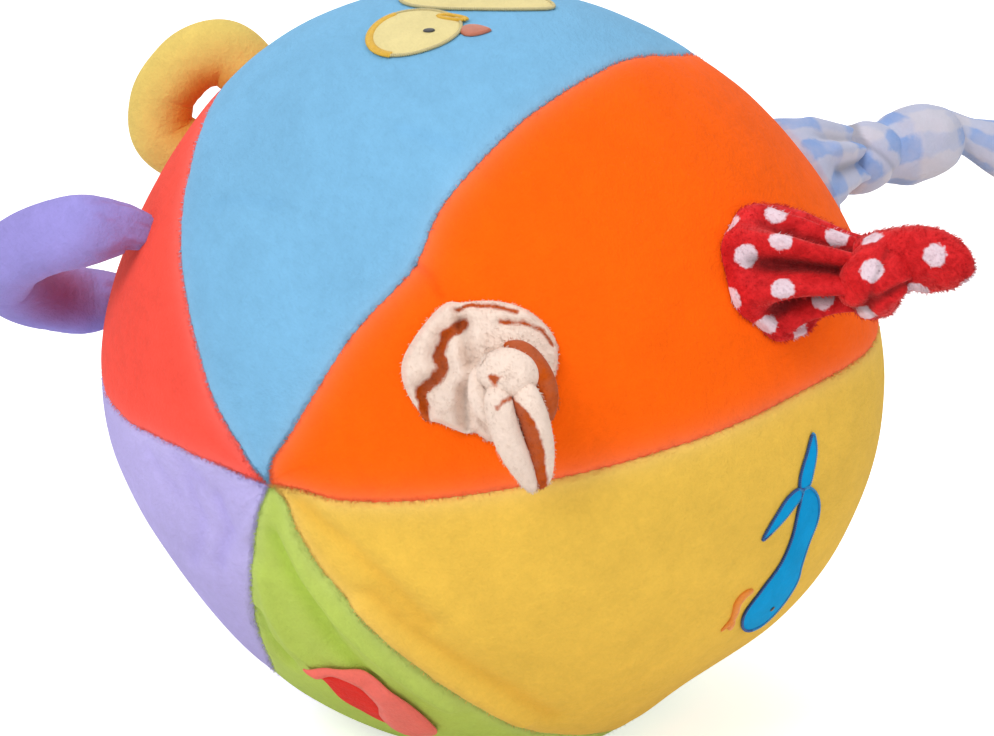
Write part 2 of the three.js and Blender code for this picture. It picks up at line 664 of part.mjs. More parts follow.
// Duckling on the blue gore, head towards the front pole
const DUCK = { lon: BLUE_MIDDLE - 7.25, polar: 73.3, turn: 0, headRadius: 10.6, bodyLong: 19, bodyWide: 11.5 };
{
  const frame = sewnFrame(DUCK.lon, DUCK.polar, DUCK.turn);
  const headX = -1.2;
  const headY = 2;
  const bodyY = headY + DUCK.headRadius + DUCK.bodyWide + 2.7;
  patch('duck_head', frame, ovalOutline(headX, headY, DUCK.headRadius, DUCK.headRadius, 0), SEWN_GAP, PATCH_THICKNESS, materials.plushPaleYellow);
  patch('duck_body', frame, ovalOutline(2, bodyY, DUCK.bodyLong, DUCK.bodyWide, 18, 0.25, 18), SEWN_GAP, PATCH_THICKNESS, materials.plushPaleYellow);
  patch('duck_beak', frame, ovalOutline(headX + DUCK.headRadius + 2.9, 6.9, 3.4, 2.2, 30, 0.3, 12), SEWN_GAP, PATCH_THICKNESS, materials.stitchOrange);
  patch('duck_eye', frame, ovalOutline(3, 1.6, 1.3, 1.3, 0, 0, 8), EYE_LIFT, 0.5, materials.stitchDark);
}

// Slender bird on the yellow gore, its tail towards the top
const BIRD = { lon: YELLOW_MIDDLE + 9.5, polar: 80, turn: 0, bodyLong: 18, bodyWide: 6.6 };
{
  const frame = sewnFrame(BIRD.lon, BIRD.polar, BIRD.turn);
  patch('bird_body', frame, ovalOutline(4.4, -7.5, BIRD.bodyLong, BIRD.bodyWide, 88, 0.4, 18), SEWN_GAP, PATCH_THICKNESS, materials.satinBlue);
  patch('bird_tail', frame, ovalOutline(3.8, 20.2, 8, 2.6, 88, 0.4, 14), SEWN_GAP, PATCH_THICKNESS, materials.satinBlue);
  patch('bird_wing', frame, ovalOutline(-4.4, 9.8, 6.6, 2.3, 222, 0.35, 14), SEWN_GAP, PATCH_THICKNESS, materials.satinBlue);
  patch('bird_beak', frame, ovalOutline(-8.2, -16, 5.2, 2.2, 257, 0.3, 12), SEWN_GAP, PATCH_THICKNESS, materials.stitchOrange);
  patch('bird_eye', frame, ovalOutline(1.4, -17.5, 1.2, 1.2, 0, 0, 8), EYE_LIFT, 0.5, materials.stitchDark);
}

// Pocket on the green gore: a red backing and the flap that covers its upper right part
const POCKET = { lon: GREEN_MIDDLE + 5.5, polar: 40, turn: -46, halfLong: 18.5, halfWide: 11.5, backing: 1.2, flap: 2.6 };
{
  const frame = sewnFrame(POCKET.lon, POCKET.polar, POCKET.turn);
  patch('pocket_backing', frame, ovalOutline(0, 0, POCKET.halfLong, POCKET.halfWide, 0, 0, 20), SEWN_GAP, POCKET.backing, materials.plushRed);
  const top = 8.6;
  const chord = 12;
  const freeEdge = [[-11.5, 6.9], [-8, 5.9], [-4, 3.4], [-0.5, 0.2], [2.9, -3.4], [7, -6.9], [12, -6.2], [15.4, -2.2], [15.6, 3.5]];
  const outline = [];
  for (let i = 0; i <= 6; i += 1) {
    outline.push(new THREE.Vector2(chord - (2 * chord * i) / 6, top));
  }
  for (const [x, y] of freeEdge) {
    outline.push(new THREE.Vector2(x, y));
  }
  patch('pocket_flap', frame, outline, SEWN_GAP + POCKET.backing + FIT_GAP, POCKET.flap, materials.plushRed);
}

export default toy;
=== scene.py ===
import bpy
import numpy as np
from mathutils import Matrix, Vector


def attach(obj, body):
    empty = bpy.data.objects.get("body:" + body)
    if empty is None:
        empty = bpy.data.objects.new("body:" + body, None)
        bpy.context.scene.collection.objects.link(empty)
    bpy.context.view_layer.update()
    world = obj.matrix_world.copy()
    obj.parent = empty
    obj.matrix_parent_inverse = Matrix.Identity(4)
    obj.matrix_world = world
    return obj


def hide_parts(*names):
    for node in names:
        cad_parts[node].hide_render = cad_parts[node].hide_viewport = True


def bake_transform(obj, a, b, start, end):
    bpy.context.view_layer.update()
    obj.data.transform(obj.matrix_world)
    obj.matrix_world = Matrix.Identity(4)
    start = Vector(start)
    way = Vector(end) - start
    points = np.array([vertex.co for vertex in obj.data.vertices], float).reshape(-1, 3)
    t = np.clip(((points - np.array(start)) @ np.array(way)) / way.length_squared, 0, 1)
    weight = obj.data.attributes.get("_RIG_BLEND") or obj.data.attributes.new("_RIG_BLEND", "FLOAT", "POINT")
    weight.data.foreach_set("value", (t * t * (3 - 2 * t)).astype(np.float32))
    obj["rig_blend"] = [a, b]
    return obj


bl_info = {
    "name": "Plush Activity Ball",
    "version": (1, 0, 0),
    "blender": (4, 5, 0),
    "location": "View3D > Sidebar > Plush Ball",
    "description": "Dresses a plush activity ball with gores, loops, knotted tails and sewn-on figures",
    "category": "Object",
}

import math
import random

import bmesh
import bpy
from bpy.props import FloatProperty, FloatVectorProperty, IntProperty, PointerProperty
from bpy.types import Operator, Panel, PropertyGroup
from mathutils import Matrix, Vector, noise

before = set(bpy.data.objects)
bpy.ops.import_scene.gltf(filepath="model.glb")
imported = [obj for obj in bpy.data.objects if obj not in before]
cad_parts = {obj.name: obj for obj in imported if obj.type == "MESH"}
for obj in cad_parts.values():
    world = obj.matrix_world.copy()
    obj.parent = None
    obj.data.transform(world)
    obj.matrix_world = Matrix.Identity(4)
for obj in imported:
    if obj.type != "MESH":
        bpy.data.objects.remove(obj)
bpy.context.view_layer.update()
MM = 0.001
UP = Vector((0, 0, 1))
TURN = 2 * math.pi
# Mark, in millimetres, of a point that no streak comes near
FAR = 3.0
# Height at which a sewn-on edge lies over the cover, in metres
SEWN_LIFT = 0.0003

# Polar angle and longitude, in degrees, along each sewn seam from the front pole to the back pole
SEAMS = {
    "red_blue": (
        (0, 41), (7, 40.8), (13, 41.6), (20.6, 39.9), (27, 38.6), (40, 38.1), (58, 37.4), (75, 39), (180, 39),
    ),
    "lavender_red": ((0, 72), (9, 75.2), (15, 78.6), (23, 81.9), (34, 85), (50, 84.5), (65, 84), (180, 84)),
    "green_lavender": (
        (0, 152), (7, 153.5), (12, 154), (18, 155.2), (26, 156), (32, 157.3), (38, 158), (52, 155.5),
        (180, 155.5),
    ),
    "yellow_green": (
        (0, 262), (2.5, 250), (5, 226), (8.4, 217), (12.4, 213.5), (17.6, 213.4), (24, 212.7), (30, 212),
        (44, 210.7), (54, 208.6), (70, 209.5), (180, 209.5),
    ),
    "orange_yellow": (
        (0, 280), (2.5, 281), (8.3, 274.5), (14.3, 273.8), (27, 274.6), (40, 275.6), (62, 276.5), (82, 277.2),
        (93, 276.8), (110, 276), (130, 277.5), (180, 277.5),
    ),
    "blue_orange": (
        (0, 344), (4.3, 345), (8.7, 339), (13.6, 336.9), (18.7, 335.2), (24.4, 334.3), (29.8, 333),
        (35, 331.5), (38.9, 330.9), (42.4, 332), (45.6, 333.7), (50, 334.5), (63, 334.4), (80, 333.4),
        (90, 333), (104, 331.6), (125, 333.5), (180, 333.5),
    ),
}
GORES = {
    "blue": ("blue_orange", "red_blue"),
    "red": ("red_blue", "lavender_red"),
    "lavender": ("lavender_red", "green_lavender"),
    "green": ("green_lavender", "yellow_green"),
    "yellow": ("yellow_green", "orange_yellow"),
    "orange": ("orange_yellow", "blue_orange"),
}
# Longitude, polar angle, height in millimetres and spread in degrees of each push of the stuffing
BULGES = (
    (86.4, 49.8, 3.4, 14.0),
    (29.9, 83.4, 2.6, 18.0),
    (327.6, 118.3, -2.2, 24.0),
    (264.2, 113.8, 2.6, 24.0),
    (219.7, 85.9, -2.8, 9.0),
    (206.0, 74.0, 1.6, 9.0),
    (129.6, 44.6, -1.8, 18.0),
)
# Height and width in millimetres, then longitude and polar angle along each soft fold of the cover
FOLDS = (
    (1.8, 2.8, ((216.4, 20.0), (215.9, 24.8), (216.0, 33.2), (214.2, 43.6), (212.5, 53.0))),
    (-1.2, 3.6, ((224.0, 20.0), (221.5, 25.6), (220.8, 34.6), (219.5, 44.9), (216.0, 55.0))),
    (-1.1, 3.0, ((266.0, 5.0), (247.9, 12.4), (236.0, 20.5), (229.0, 28.0))),
    (0.9, 3.4, ((264.0, 10.0), (247.0, 19.0), (237.0, 28.0), (231.0, 36.0))),
    (2.2, 2.6, ((200.0, 6.0), (201.0, 13.0), (203.4, 20.2), (206.7, 32.1), (207.2, 42.1))),
    (-1.9, 3.0, ((182.0, 6.5), (188.0, 11.5), (192.5, 17.5), (192.0, 24.0), (195.0, 33.0))),
    (1.6, 2.6, ((164.0, 14.0), (167.5, 20.1), (172.8, 26.5), (180.0, 31.0))),
    (-1.6, 2.4, ((158.5, 24.0), (160.9, 29.0), (166.9, 33.5))),
    (-0.9, 2.2, ((103.4, 10.6), (127.4, 11.2), (136.6, 19.2))),
    (-0.8, 2.6, ((95.0, 17.0), (115.0, 16.0), (124.6, 20.7), (128.0, 27.0))),
    (0.8, 2.0, ((111.2, 5.7), (140.4, 8.8))),
    (-0.7, 2.0, ((84.5, 20.0), (86.0, 16.4), (93.0, 13.4))),
    (-0.6, 2.2, ((90.0, 27.0), (95.0, 23.4), (102.0, 20.0))),
    (-0.5, 2.2, ((349.5, 55.9), (344.2, 56.3), (339.3, 56.7))),
    (-0.45, 2.4, ((26.2, 43.4), (18.7, 42.7), (8.6, 41.2))),
    (-0.8, 0.9, ((331.0, 39.6), (326.0, 39.6), (321.6, 38.5))),
)
# Longitude and polar angle of a tail's sewn middle, then sizes and places in millimetres in its sewn frame
TAILS = {
    "cream": {
        "base": (305.0, 36.8), "radius": 15.5, "neck": (4.5, -1.5, 12.0), "neck_radius": 4.0,
        "knot": (7.5, -3.0, 18.5), "knot_radius": 7.4,
    },
    "dotted": {
        "base": (294.7, 83.1), "radius": 15.2, "neck": (5.0, -5.5, 15.0), "neck_radius": 7.0,
        "knot": (5.6, -7.6, 23.0), "knot_radius": 10.2,
    },
    "check": {
        "base": (306.2, 140.5), "radius": 15.6, "neck": (4.0, -4.5, 11.5), "neck_radius": 7.4,
        "knot": (5.0, -7.0, 18.6), "knot_radius": 9.6,
    },
}
# The cream rosette's rim, in millimetres from its sewn middle
ROSETTE_RIM = (
    (-6.2, 13.3), (-3.9, 13.1), (0.2, 13.5), (5.4, 13.2), (10.0, 11.7), (13.1, 9.5), (15.9, 6.0), (16.7, 1.8),
    (16.2, -1.9), (15.1, -5.5), (13.5, -9.2), (10.0, -13.0), (6.1, -15.5), (2.5, -16.0), (-0.6, -14.1),
    (-2.2, -14.4), (-5.4, -13.4), (-8.5, -12.1), (-11.2, -11.7), (-12.7, -9.5), (-14.8, -6.4), (-16.3, -2.2),
    (-15.9, 1.5), (-13.9, 5.1), (-11.2, 8.9), (-8.1, 12.2),
)
# Depth, width and brown half width of each fold line of the rosette, then its places, all in millimetres
ROSETTE_FOLDS = (
    (
        2.6, 2.0, 1.25,
        ((-3.3, 8.3), (-6.6, 5.7), (-8.0, 1.6), (-6.6, -0.7), (-8.6, -3.2), (-11.7, -5.3), (-11.1, -11.1)),
    ),
    (2.0, 1.1, 0.0, ((-4.9, 13.2), (-3.8, 10.3), (-3.3, 8.5))),
    (2.4, 1.4, 0.0, ((-2.7, 7.2), (-2.3, 4.1), (-1.2, 0.6))),
    (2.2, 1.3, 0.0, ((-2.1, -13.5), (-2.4, -9.3), (-2.2, -4.8))),
    (1.0, 0.9, 0.55, ((-4.4, 11.4), (-1.7, 12.2), (3.4, 12.0), (7.6, 11.0))),
    (1.1, 1.0, 0.45, ((4.5, 8.5), (8.7, 8.6), (12.8, 7.4), (15.3, 4.3))),
)
# Places and radii, in millimetres, of the strands of the cream tail's knot and end, then mark and flatness
CREAM_STRANDS = {
    "band": (
        ((5.6, 4.2, 14.6), (9.6, 3.0, 15.6), (12.7, -0.6, 15.4), (14.2, -5.0, 15.0), (14.0, -9.4, 14.2),
         (12.2, -12.4, 12.4)),
        (1.2, 1.9, 2.3, 2.6, 2.4, 1.4), -1.0, 1.0,
    ),
    "tuck": (
        ((0.2, -0.6, 12.4), (0.6, -4.4, 15.2), (1.6, -7.6, 15.8), (4.4, -10.4, 14.6), (8.0, -12.0, 12.6)),
        (1.4, 2.2, 2.6, 2.6, 1.6), FAR, 1.0,
    ),
    "long_lobe": (
        ((4.6, -3.6, 17.4), (4.8, -7.4, 19.0), (5.8, -12.1, 17.6), (8.2, -18.3, 13.8), (10.9, -23.6, 9.6),
         (11.8, -26.0, 8.4)),
        (2.4, 3.0, 3.1, 2.9, 2.0, 1.2), FAR, 0.9,
    ),
    "short_lobe": (
        ((9.4, -3.4, 16.4), (10.3, -6.4, 18.2), (12.0, -11.1, 16.2), (13.2, -17.2, 12.4), (13.4, -22.6, 9.2),
         (12.9, -25.4, 8.2)),
        (2.4, 3.1, 3.2, 3.0, 2.3, 1.3), FAR, 0.85,
    ),
}
# Edge of the brown on the short lobe, as x at each y, and the small streak on the long one, in millimetres
SHORT_LOBE_EDGE = ((-27.0, 15.2), (-22.0, 14.6), (-16.0, 13.8), (-10.0, 11.4), (-8.0, 9.4), (0.0, 0.0))
LONG_LOBE_STREAK = ((4.6, -8.7), (6.2, -7.2), (7.6, -6.6))
# Direction in degrees, depth and width in degrees of the valleys of the two gathered flares
DOTTED_VALLEYS = (
    (118, 0.2, 15), (164, 0.26, 15), (224, 0.34, 16), (265, 0.2, 13), (305, 0.22, 15), (350, 0.25, 17),
    (38, 0.22, 16), (80, 0.2, 14),
)
CHECK_VALLEYS = (
    (20, 0.13, 19), (75, 0.1, 17), (128, 0.13, 18), (176, 0.16, 17), (232, 0.16, 18), (280, 0.12, 17),
    (330, 0.13, 18),
)
# Dots that show in front, in millimetres in the dotted tail's sewn frame
FRONT_DOTS = (
    (-12.5, 4.7, 4.0), (-8.9, 5.5, 12.0), (-11.5, -4.0, 10.3), (-1.1, -9.0, 11.9), (-2.0, 11.9, 7.4),
    (-10.9, -11.9, 1.6), (1.3, 3.2, 18.5), (0.2, -14.0, 2.0), (-3.1, -6.3, 28.0), (2.2, 0.4, 26.5),
    (-0.8, -14.9, 20.9), (3.2, -7.3, 40.0), (5.5, -12.7, 31.3),
)
# Outlines of the bird, its feet and the pocket, in millimetres in their sewn frames
BIRD_BODY = (
    (1.0, 16.2), (4.4, 15.0), (8.0, 11.0), (9.4, 6.0), (8.6, 0.0), (9.2, -6.0), (11.2, -12.0), (10.6, -19.0),
    (8.0, -24.4), (3.0, -25.0), (-3.2, -21.6), (-6.6, -15.5), (-4.4, -9.0), (-1.0, -3.0), (0.3, 4.0),
    (0.2, 11.0),
)
BIRD_TAIL = ((2.6, 29.2), (3.9, 25.0), (3.4, 20.0), (2.4, 16.2), (-0.6, 16.4), (-1.2, 19.4), (0.5, 24.8))
BIRD_WING = ((-1.2, 16.4), (0.6, 14.8), (-2.2, 11.8), (-6.2, 8.4), (-10.4, 5.8), (-8.2, 10.6), (-4.6, 15.2))
BIRD_FEET = (
    ((-7.6, -8.2), (-10.2, -8.8), (-11.4, -10.8), (-10.6, -14.0), (-10.3, -16.6), (-11.8, -20.4)),
    ((-10.3, -16.4), (-9.6, -18.4), (-8.8, -20.4)),
)
POCKET_BACKING = (
    (-17.0, 1.4), (-11.2, -2.6), (-5.4, -6.4), (0.0, -6.6), (6.0, -7.4), (11.0, -5.6), (12.4, 0.0),
    (7.6, 6.4), (0.0, 9.0), (-8.0, 9.2), (-13.6, 6.2),
)
POCKET_FLAP = (
    (-19.1, 1.6), (-16.9, 5.2), (-13.2, 9.6), (-8.3, 12.6), (-1.3, 13.0), (5.8, 10.7), (12.0, 6.5),
    (15.8, 2.0), (15.4, -3.0), (12.6, -6.6), (9.0, -6.6), (5.2, -3.6), (2.2, -0.4), (-0.7, 4.4),
    (-5.2, 6.9), (-9.5, 7.2), (-13.3, 5.6), (-15.9, 2.0),
)
# Place in metres, width in metres and power in watts of each lamp
LAMPS = {
    "key": ((-0.75, -1.05, 1.2), 1.0, 16.0),
    "fill": ((1.1, -1.0, 0.7), 1.2, 5.5),
    "top": ((0.1, 0.35, 1.5), 1.2, 4.8),
    "back": ((-0.3, 1.2, 0.9), 1.2, 3.5),
}
# The photograph's viewpoint in metres, its tilt in degrees, and its width and focal length in pixels
CAMERA_PLACE = (0.000905, -0.690117, 0.269497)
CAMERA_TILT = 75.0
PHOTO_WIDTH = 994.0
FOCAL_PIXELS = 3000.0
SENSOR_WIDTH = 36.0


def linear(red, green, blue):
    """A display colour of 0 to 255 as scene-linear values."""
    def channel(value):
        value /= 255.0
        return value / 12.92 if value <= 0.04045 else ((value + 0.055) / 1.055) ** 2.4
    return (channel(red), channel(green), channel(blue))


def colour(name, words, rgb):
    return FloatVectorProperty(
        name=name, description=words, subtype="COLOR", size=3, min=0, max=1, default=linear(*rgb),
    )


def length(name, words, default):
    return FloatProperty(name=name, description=words, default=default, unit="LENGTH")


def plain_number(name, words, default):
    return FloatProperty(name=name, description=words, default=default)


def whole_number(name, words, default):
    return IntProperty(name=name, description=words, default=default)


class BallSizes(PropertyGroup):
    radius: length("Radius", "Ball radius at a seam-free place", 0.09)
    flat_depth: length("Flat depth", "How far the rest flat is pressed in", 0.005)
    pole_azimuth: plain_number("Pole azimuth", "Heading of the front pole in degrees", -122.5)
    pole_drop: plain_number("Pole drop", "How far the front pole looks down in degrees", 5.8)
    cover: length("Cover", "Thickness of the plush cover", 0.0014)
    seam_depth: length("Seam depth", "How far a gore's edge rolls in", 0.00065)
    seam_roll: length("Seam roll", "Width of the rolled edge", 0.0015)
    stitch: length("Stitch", "Length of one seam stitch", 0.0027)
    seam_pile: whole_number("Seam pile", "Strands that stand along one gore's seams", 3000)
    seam_pile_length: length("Seam pile length", "Length of a strand along a seam", 0.00075)
    across: whole_number("Across", "Faces across a gore", 60)
    along: whole_number("Along", "Faces from pole to pole", 400)


class LoopSizes(PropertyGroup):
    end_radius: length("End radius", "Radius of a loop's sewn ends", 0.0042)
    yellow_wide: length("Yellow width", "Half the yellow tube's width in its plane", 0.0085)
    yellow_deep: length("Yellow depth", "Half the yellow tube's depth across its plane", 0.0076)
    violet_wide: length("Violet width", "Half the violet tube's width in its plane", 0.0078)
    violet_deep: length("Violet depth", "Half the violet tube's depth across its plane", 0.0088)
    pressure: plain_number("Pressure", "Push of the stuffing in the cloth simulation", 20.0)
    swelling: length("Swelling", "Furthest that the stuffing moves the cloth", 0.0014)


class TailSizes(PropertyGroup):
    dot_radius: length("Dot radius", "Radius of a white dot", 0.0025)
    dot_step: length("Dot step", "Least distance between two dots", 0.0088)
    check_width: length("Check width", "Width of one check", 0.0052)
    check_height: length("Check height", "Height of one check", 0.0098)
    pile_count: whole_number("Pile count", "Standing pile strands on one tail", 6000)
    pile_length: length("Pile length", "Length of a pile strand", 0.0009)


class PlushColours(PropertyGroup):
    blue: colour("Blue", "Top gore", (120, 177, 215))
    red: colour("Red", "Left gore", (248, 82, 66))
    orange: colour("Orange", "Right gore", (253, 98, 2))
    yellow: colour("Yellow", "Lower right gore", (232, 188, 76))
    green: colour("Green", "Lower gore", (180, 200, 90))
    lavender: colour("Lavender", "Lower left gore", (182, 172, 226))
    gold: colour("Gold", "Yellow loop", (228, 199, 108))
    violet: colour("Violet", "Violet loop", (152, 143, 212))
    # Painted shade: these two colours darken the loops' inner sides and sewn ends, where shade falls; the violet
    # one is pinker for a painted reflection of the red gore.
    gold_shade: colour("Gold shade", "Yellow loop's brushed-down inner side", (222, 150, 50))
    violet_shade: colour("Violet shade", "Violet loop's brushed-down inner side", (150, 98, 146))
    cream: colour("Cream", "Streaked tail ground", (236, 214, 199))
    brown: colour("Brown", "Streaks of the cream tail", (184, 76, 10))
    dotted: colour("Dotted red", "Ground of the dotted tail", (206, 12, 20))
    dots: colour("Dots", "Dots of the dotted tail", (228, 206, 216))
    check_white: colour("Check white", "Ground of the check tail", (198, 196, 209))
    check_blue: colour("Check blue", "Blue of the check tail", (126, 158, 212))
    duck: colour("Duck", "Duckling plush", (224, 208, 148))
    bird: colour("Bird", "Bird satin", (0, 152, 214))
    stitch_gold: colour("Gold thread", "Thread on the duckling's cheek and tuft", (226, 178, 42))
    stitch_navy: colour("Navy thread", "Thread on the bird's left edges", (14, 78, 150))
    beak: colour("Beak", "Duckling's beak", (190, 106, 78))
    foot: colour("Foot", "Bird's feet", (236, 138, 28))
    eye: colour("Eye", "Eye thread", (20, 18, 22))
    pocket: colour("Pocket", "Pocket plush", (226, 44, 34))
    # Painted highlight: the flap is the pocket's red plush, painted paler salmon for its sheen at a grazing
    # angle.
    flap: colour("Flap", "Flap plush", (236, 112, 100))
    wadding: colour("Wadding", "Fibre fill", (240, 239, 234))
    case: colour("Case", "Rattle case plastic", (238, 236, 228))
    bead: colour("Bead", "Rattle bead plastic", (205, 62, 58))


def smooth_step(low, high, value):
    share = min(1.0, max(0.0, (value - low) / (high - low)))
    return share * share * (3.0 - 2.0 * share)


def bell(value, width):
    return math.exp(-((value / width) ** 2))


def quarter(share):
    """The rise of a rounded edge, from 0 to 1 as share goes from 0 to 1."""
    return math.sin(min(1.0, share) * math.pi / 2)


def curve(start, bend, end, share):
    """Place and direction on the bent line from start to end."""
    place = start * (1 - share) ** 2 + bend * (2 * share * (1 - share)) + end * share ** 2
    return place, ((bend - start) * (1 - share) + (end - bend) * share).normalized()


def near_line(spot, line):
    """Distance from spot to a line of points, in the unit of both."""
    best = 1e9
    for first, second in zip(line, line[1:]):
        way = second - first
        share = min(1.0, max(0.0, (spot - first).dot(way) / way.length_squared))
        best = min(best, (spot - first - way * share).length)
    return best


def on_table(table, at):
    """A smooth curve through a table of pairs, read at one place."""
    last = len(table) - 2
    k = 0
    while k < last and at > table[k + 1][0]:
        k += 1
    (x0, y0), (x1, y1) = table[k], table[k + 1]
    slope = (y1 - y0) / (x1 - x0)
    before = (y1 - table[k - 1][1]) / (x1 - table[k - 1][0]) if k > 0 else slope
    after = (table[k + 2][1] - y0) / (table[k + 2][0] - x0) if k < last else slope
    t = (at - x0) / (x1 - x0)
    width = x1 - x0
    return (
        y0 * (2 * t ** 3 - 3 * t ** 2 + 1) + width * before * (t ** 3 - 2 * t ** 2 + t)
        + y1 * (3 * t ** 2 - 2 * t ** 3) + width * after * (t ** 3 - t ** 2)
    )


def spline(points, share):
    """A point of the centripetal curve through points, for share from 0 to 1 in equal steps between them."""
    last = len(points) - 1
    index = min(last - 1, int(share * last))
    local = share * last - index
    before = points[index - 1] if index > 0 else points[index] * 2 - points[index + 1]
    after = points[index + 2] if index + 2 <= last else points[index + 1] * 2 - points[index]
    p = (before, points[index], points[index + 1], after)
    t = [0.0]
    for first, second in zip(p, p[1:]):
        t.append(t[-1] + max(1e-9, (second - first).length ** 0.5))
    x = t[1] + (t[2] - t[1]) * local

    def between(a, b, low, high):
        return a * ((high - x) / (high - low)) + b * ((x - low) / (high - low))
    low = between(between(p[0], p[1], t[0], t[1]), between(p[1], p[2], t[1], t[2]), t[0], t[2])
    high = between(between(p[1], p[2], t[1], t[2]), between(p[2], p[3], t[2], t[3]), t[1], t[3])
    return between(low, high, t[1], t[2])


class BallShape:
    """The stuffed ball's outside as a function of direction, in metres."""

    def __init__(self, sizes):
        self.radius = sizes.radius
        self.centre = Vector((0.0, 0.0, sizes.radius - sizes.flat_depth))
        azimuth = math.radians(sizes.pole_azimuth)
        drop = math.radians(sizes.pole_drop)
        level = math.cos(drop)
        self.pole = Vector((level * math.cos(azimuth), level * math.sin(azimuth), -math.sin(drop)))
        self.top = (UP - self.pole * self.pole.z).normalized()
        self.side = self.pole.cross(self.top)
        self.pushes = [
            (self.direction(lon, polar), height * MM, spread) for lon, polar, height, spread in BULGES
        ]
        self.folds = [
            (height * MM, width * MM, [self.direction(lon, polar) * self.radius for lon, polar in line])
            for height, width, line in FOLDS
        ]

    def direction(self, lon, polar):
        lon = math.radians(lon)
        polar = math.radians(polar)
        level = math.sin(polar)
        across = self.top * (math.cos(lon) * level) + self.side * (math.sin(lon) * level)
        return across + self.pole * math.cos(polar)

    def reach(self, unit):
        total = self.radius
        for towards, height, spread in self.pushes:
            angle = math.degrees(math.acos(max(-1.0, min(1.0, unit.dot(towards)))))
            total += height * math.exp(-0.5 * (angle / spread) ** 2)
        lump = 0.034
        spot = unit * (self.radius / lump)
        total += 0.0005 * noise.noise(spot) + 0.00014 * noise.noise(spot * 3.1 + Vector((0, 9.0, 0)))
        return total + self.folded(unit)

    def folded(self, unit):
        """Height of the soft folds, which lie round the front pole."""
        if unit.dot(self.pole) < 0.5:
            return 0.0
        place = unit * self.radius
        return sum(height * bell(near_line(place, line), width) for height, width, line in self.folds)

    def point(self, unit, lift=0.0):
        place = self.centre + unit * (self.reach(unit) + lift)
        place.z = max(place.z, lift if lift > 0 else 0.0002)
        return place

    def above(self, place):
        """Height of a place over the cover."""
        offset = place - self.centre
        return offset.length - self.reach(offset.normalized())

    def sewn(self, lon, polar, turn=0.0):
        """The frame of a sewn-on piece: x to its right, y up along the cover, z outwards."""
        out = self.direction(lon, polar)
        up = (UP - out * out.z).normalized()
        right = up.cross(out)
        place = Matrix.Translation(self.point(out)) @ Matrix((right, up, out)).transposed().to_4x4()
        return place @ Matrix.Rotation(math.radians(turn), 4, "Z")

    def on_cover(self, sewn_frame, x, y, lift):
        unit = (sewn_frame @ Vector((x, y, 0.0)) - self.centre).normalized()
        return self.point(unit, lift)


def new_piece(bm, name):
    """Make a bmesh an object of the scene."""
    mesh = bpy.data.meshes.new(name)
    bm.to_mesh(mesh)
    bm.free()
    piece = bpy.data.objects.new(name, mesh)
    bpy.context.scene.collection.objects.link(piece)
    return piece


def finish_mesh(bm, name, closed=True, flip_from=None):
    """Merge, smooth and turn the faces outwards: away from flip_from if it is given."""
    bmesh.ops.remove_doubles(bm, verts=bm.verts, dist=1e-7)
    bmesh.ops.dissolve_degenerate(bm, dist=1e-7, edges=bm.edges)
    bmesh.ops.recalc_face_normals(bm, faces=bm.faces)
    if flip_from is not None:
        bm.faces.ensure_lookup_table()
        middle = bm.faces[len(bm.faces) // 2]
        middle.normal_update()
        if middle.normal.dot(middle.calc_center_median() - flip_from) < 0:
            bmesh.ops.reverse_faces(bm, faces=bm.faces)
    elif closed and bm.calc_volume(signed=True) < 0:
        bmesh.ops.reverse_faces(bm, faces=bm.faces)
    for face in bm.faces:
        face.smooth = True
    return new_piece(bm, name)


def grid_piece(name, across, along, place, marks=(), size=(1.0, 1.0), closed=True, flip_from=None):
    """A grid whose points place(u, v) sets, with u and v from 0 to 1.

    With marks, place also returns that many values to keep on the point.
    """
    bm = bmesh.new()
    uv = bm.loops.layers.uv.new("UVMap")
    bmesh.ops.create_grid(bm, x_segments=across, y_segments=along, size=0.5, calc_uvs=True)
    for face in bm.faces:
        for loop in face.loops:
            loop[uv].uv = ((loop.vert.co.x + 0.5) * size[0], (loop.vert.co.y + 0.5) * size[1])
    layers = [bm.verts.layers.float.new(key) for key in marks]
    for vert in bm.verts:
        made = place(vert.co.x + 0.5, vert.co.y + 0.5)
        if marks:
            vert.co = made[0]
            for layer, value in zip(layers, made[1:]):
                vert[layer] = value
        else:
            vert.co = made
    return finish_mesh(bm, name, closed, flip_from)


def join_pieces(name, *pieces):
    bm = bmesh.new()
    for piece in pieces:
        bm.from_mesh(piece.data)
        bpy.data.objects.remove(piece)
    return new_piece(bm, name)


def stuff(piece, held, pressure, cap, slack=-0.02, steps=20, enlarge=8.0):
    """Stuff a sewn piece with Blender's cloth from inside, worked enlarged to the size of a cushion.

    The cloth is cut larger by slack, held(place) says from 0 to 1 how firmly a point is sewn down,
    no point moves further than cap, and the result stays on the mesh.
    """
    scene = bpy.context.scene
    mesh = piece.data
    before = [vert.co.copy() for vert in mesh.vertices]
    group = piece.vertex_groups.new(name="held")
    firm = [held(place) for place in before]
    for index, weight in enumerate(firm):
        group.add([index], weight, "REPLACE")
    for vert in mesh.vertices:
        vert.co *= enlarge
    cloth = piece.modifiers.new("Stuffing", "CLOTH")
    settings = cloth.settings
    settings.quality = 5
    settings.bending_stiffness = 0.5
    settings.shrink_min = slack
    settings.use_pressure = True
    settings.uniform_pressure_force = pressure
    settings.vertex_group_mass = "held"
    settings.effector_weights.gravity = 0.0
    cloth.collision_settings.use_collision = False
    cloth.point_cache.frame_start = 1
    cloth.point_cache.frame_end = steps
    for step in range(1, steps + 1):
        scene.frame_set(step)
    swollen = piece.evaluated_get(bpy.context.evaluated_depsgraph_get()).data
    after = [vert.co / enlarge for vert in swollen.vertices]
    piece.modifiers.remove(cloth)
    piece.vertex_groups.remove(group)
    scene.frame_set(1)
    for vert, old, new, weight in zip(mesh.vertices, before, after, firm):
        move = (new - old) * (1.0 - weight)
        vert.co = old + move * min(1.0, cap / max(move.length, 1e-9))
    mesh.update()


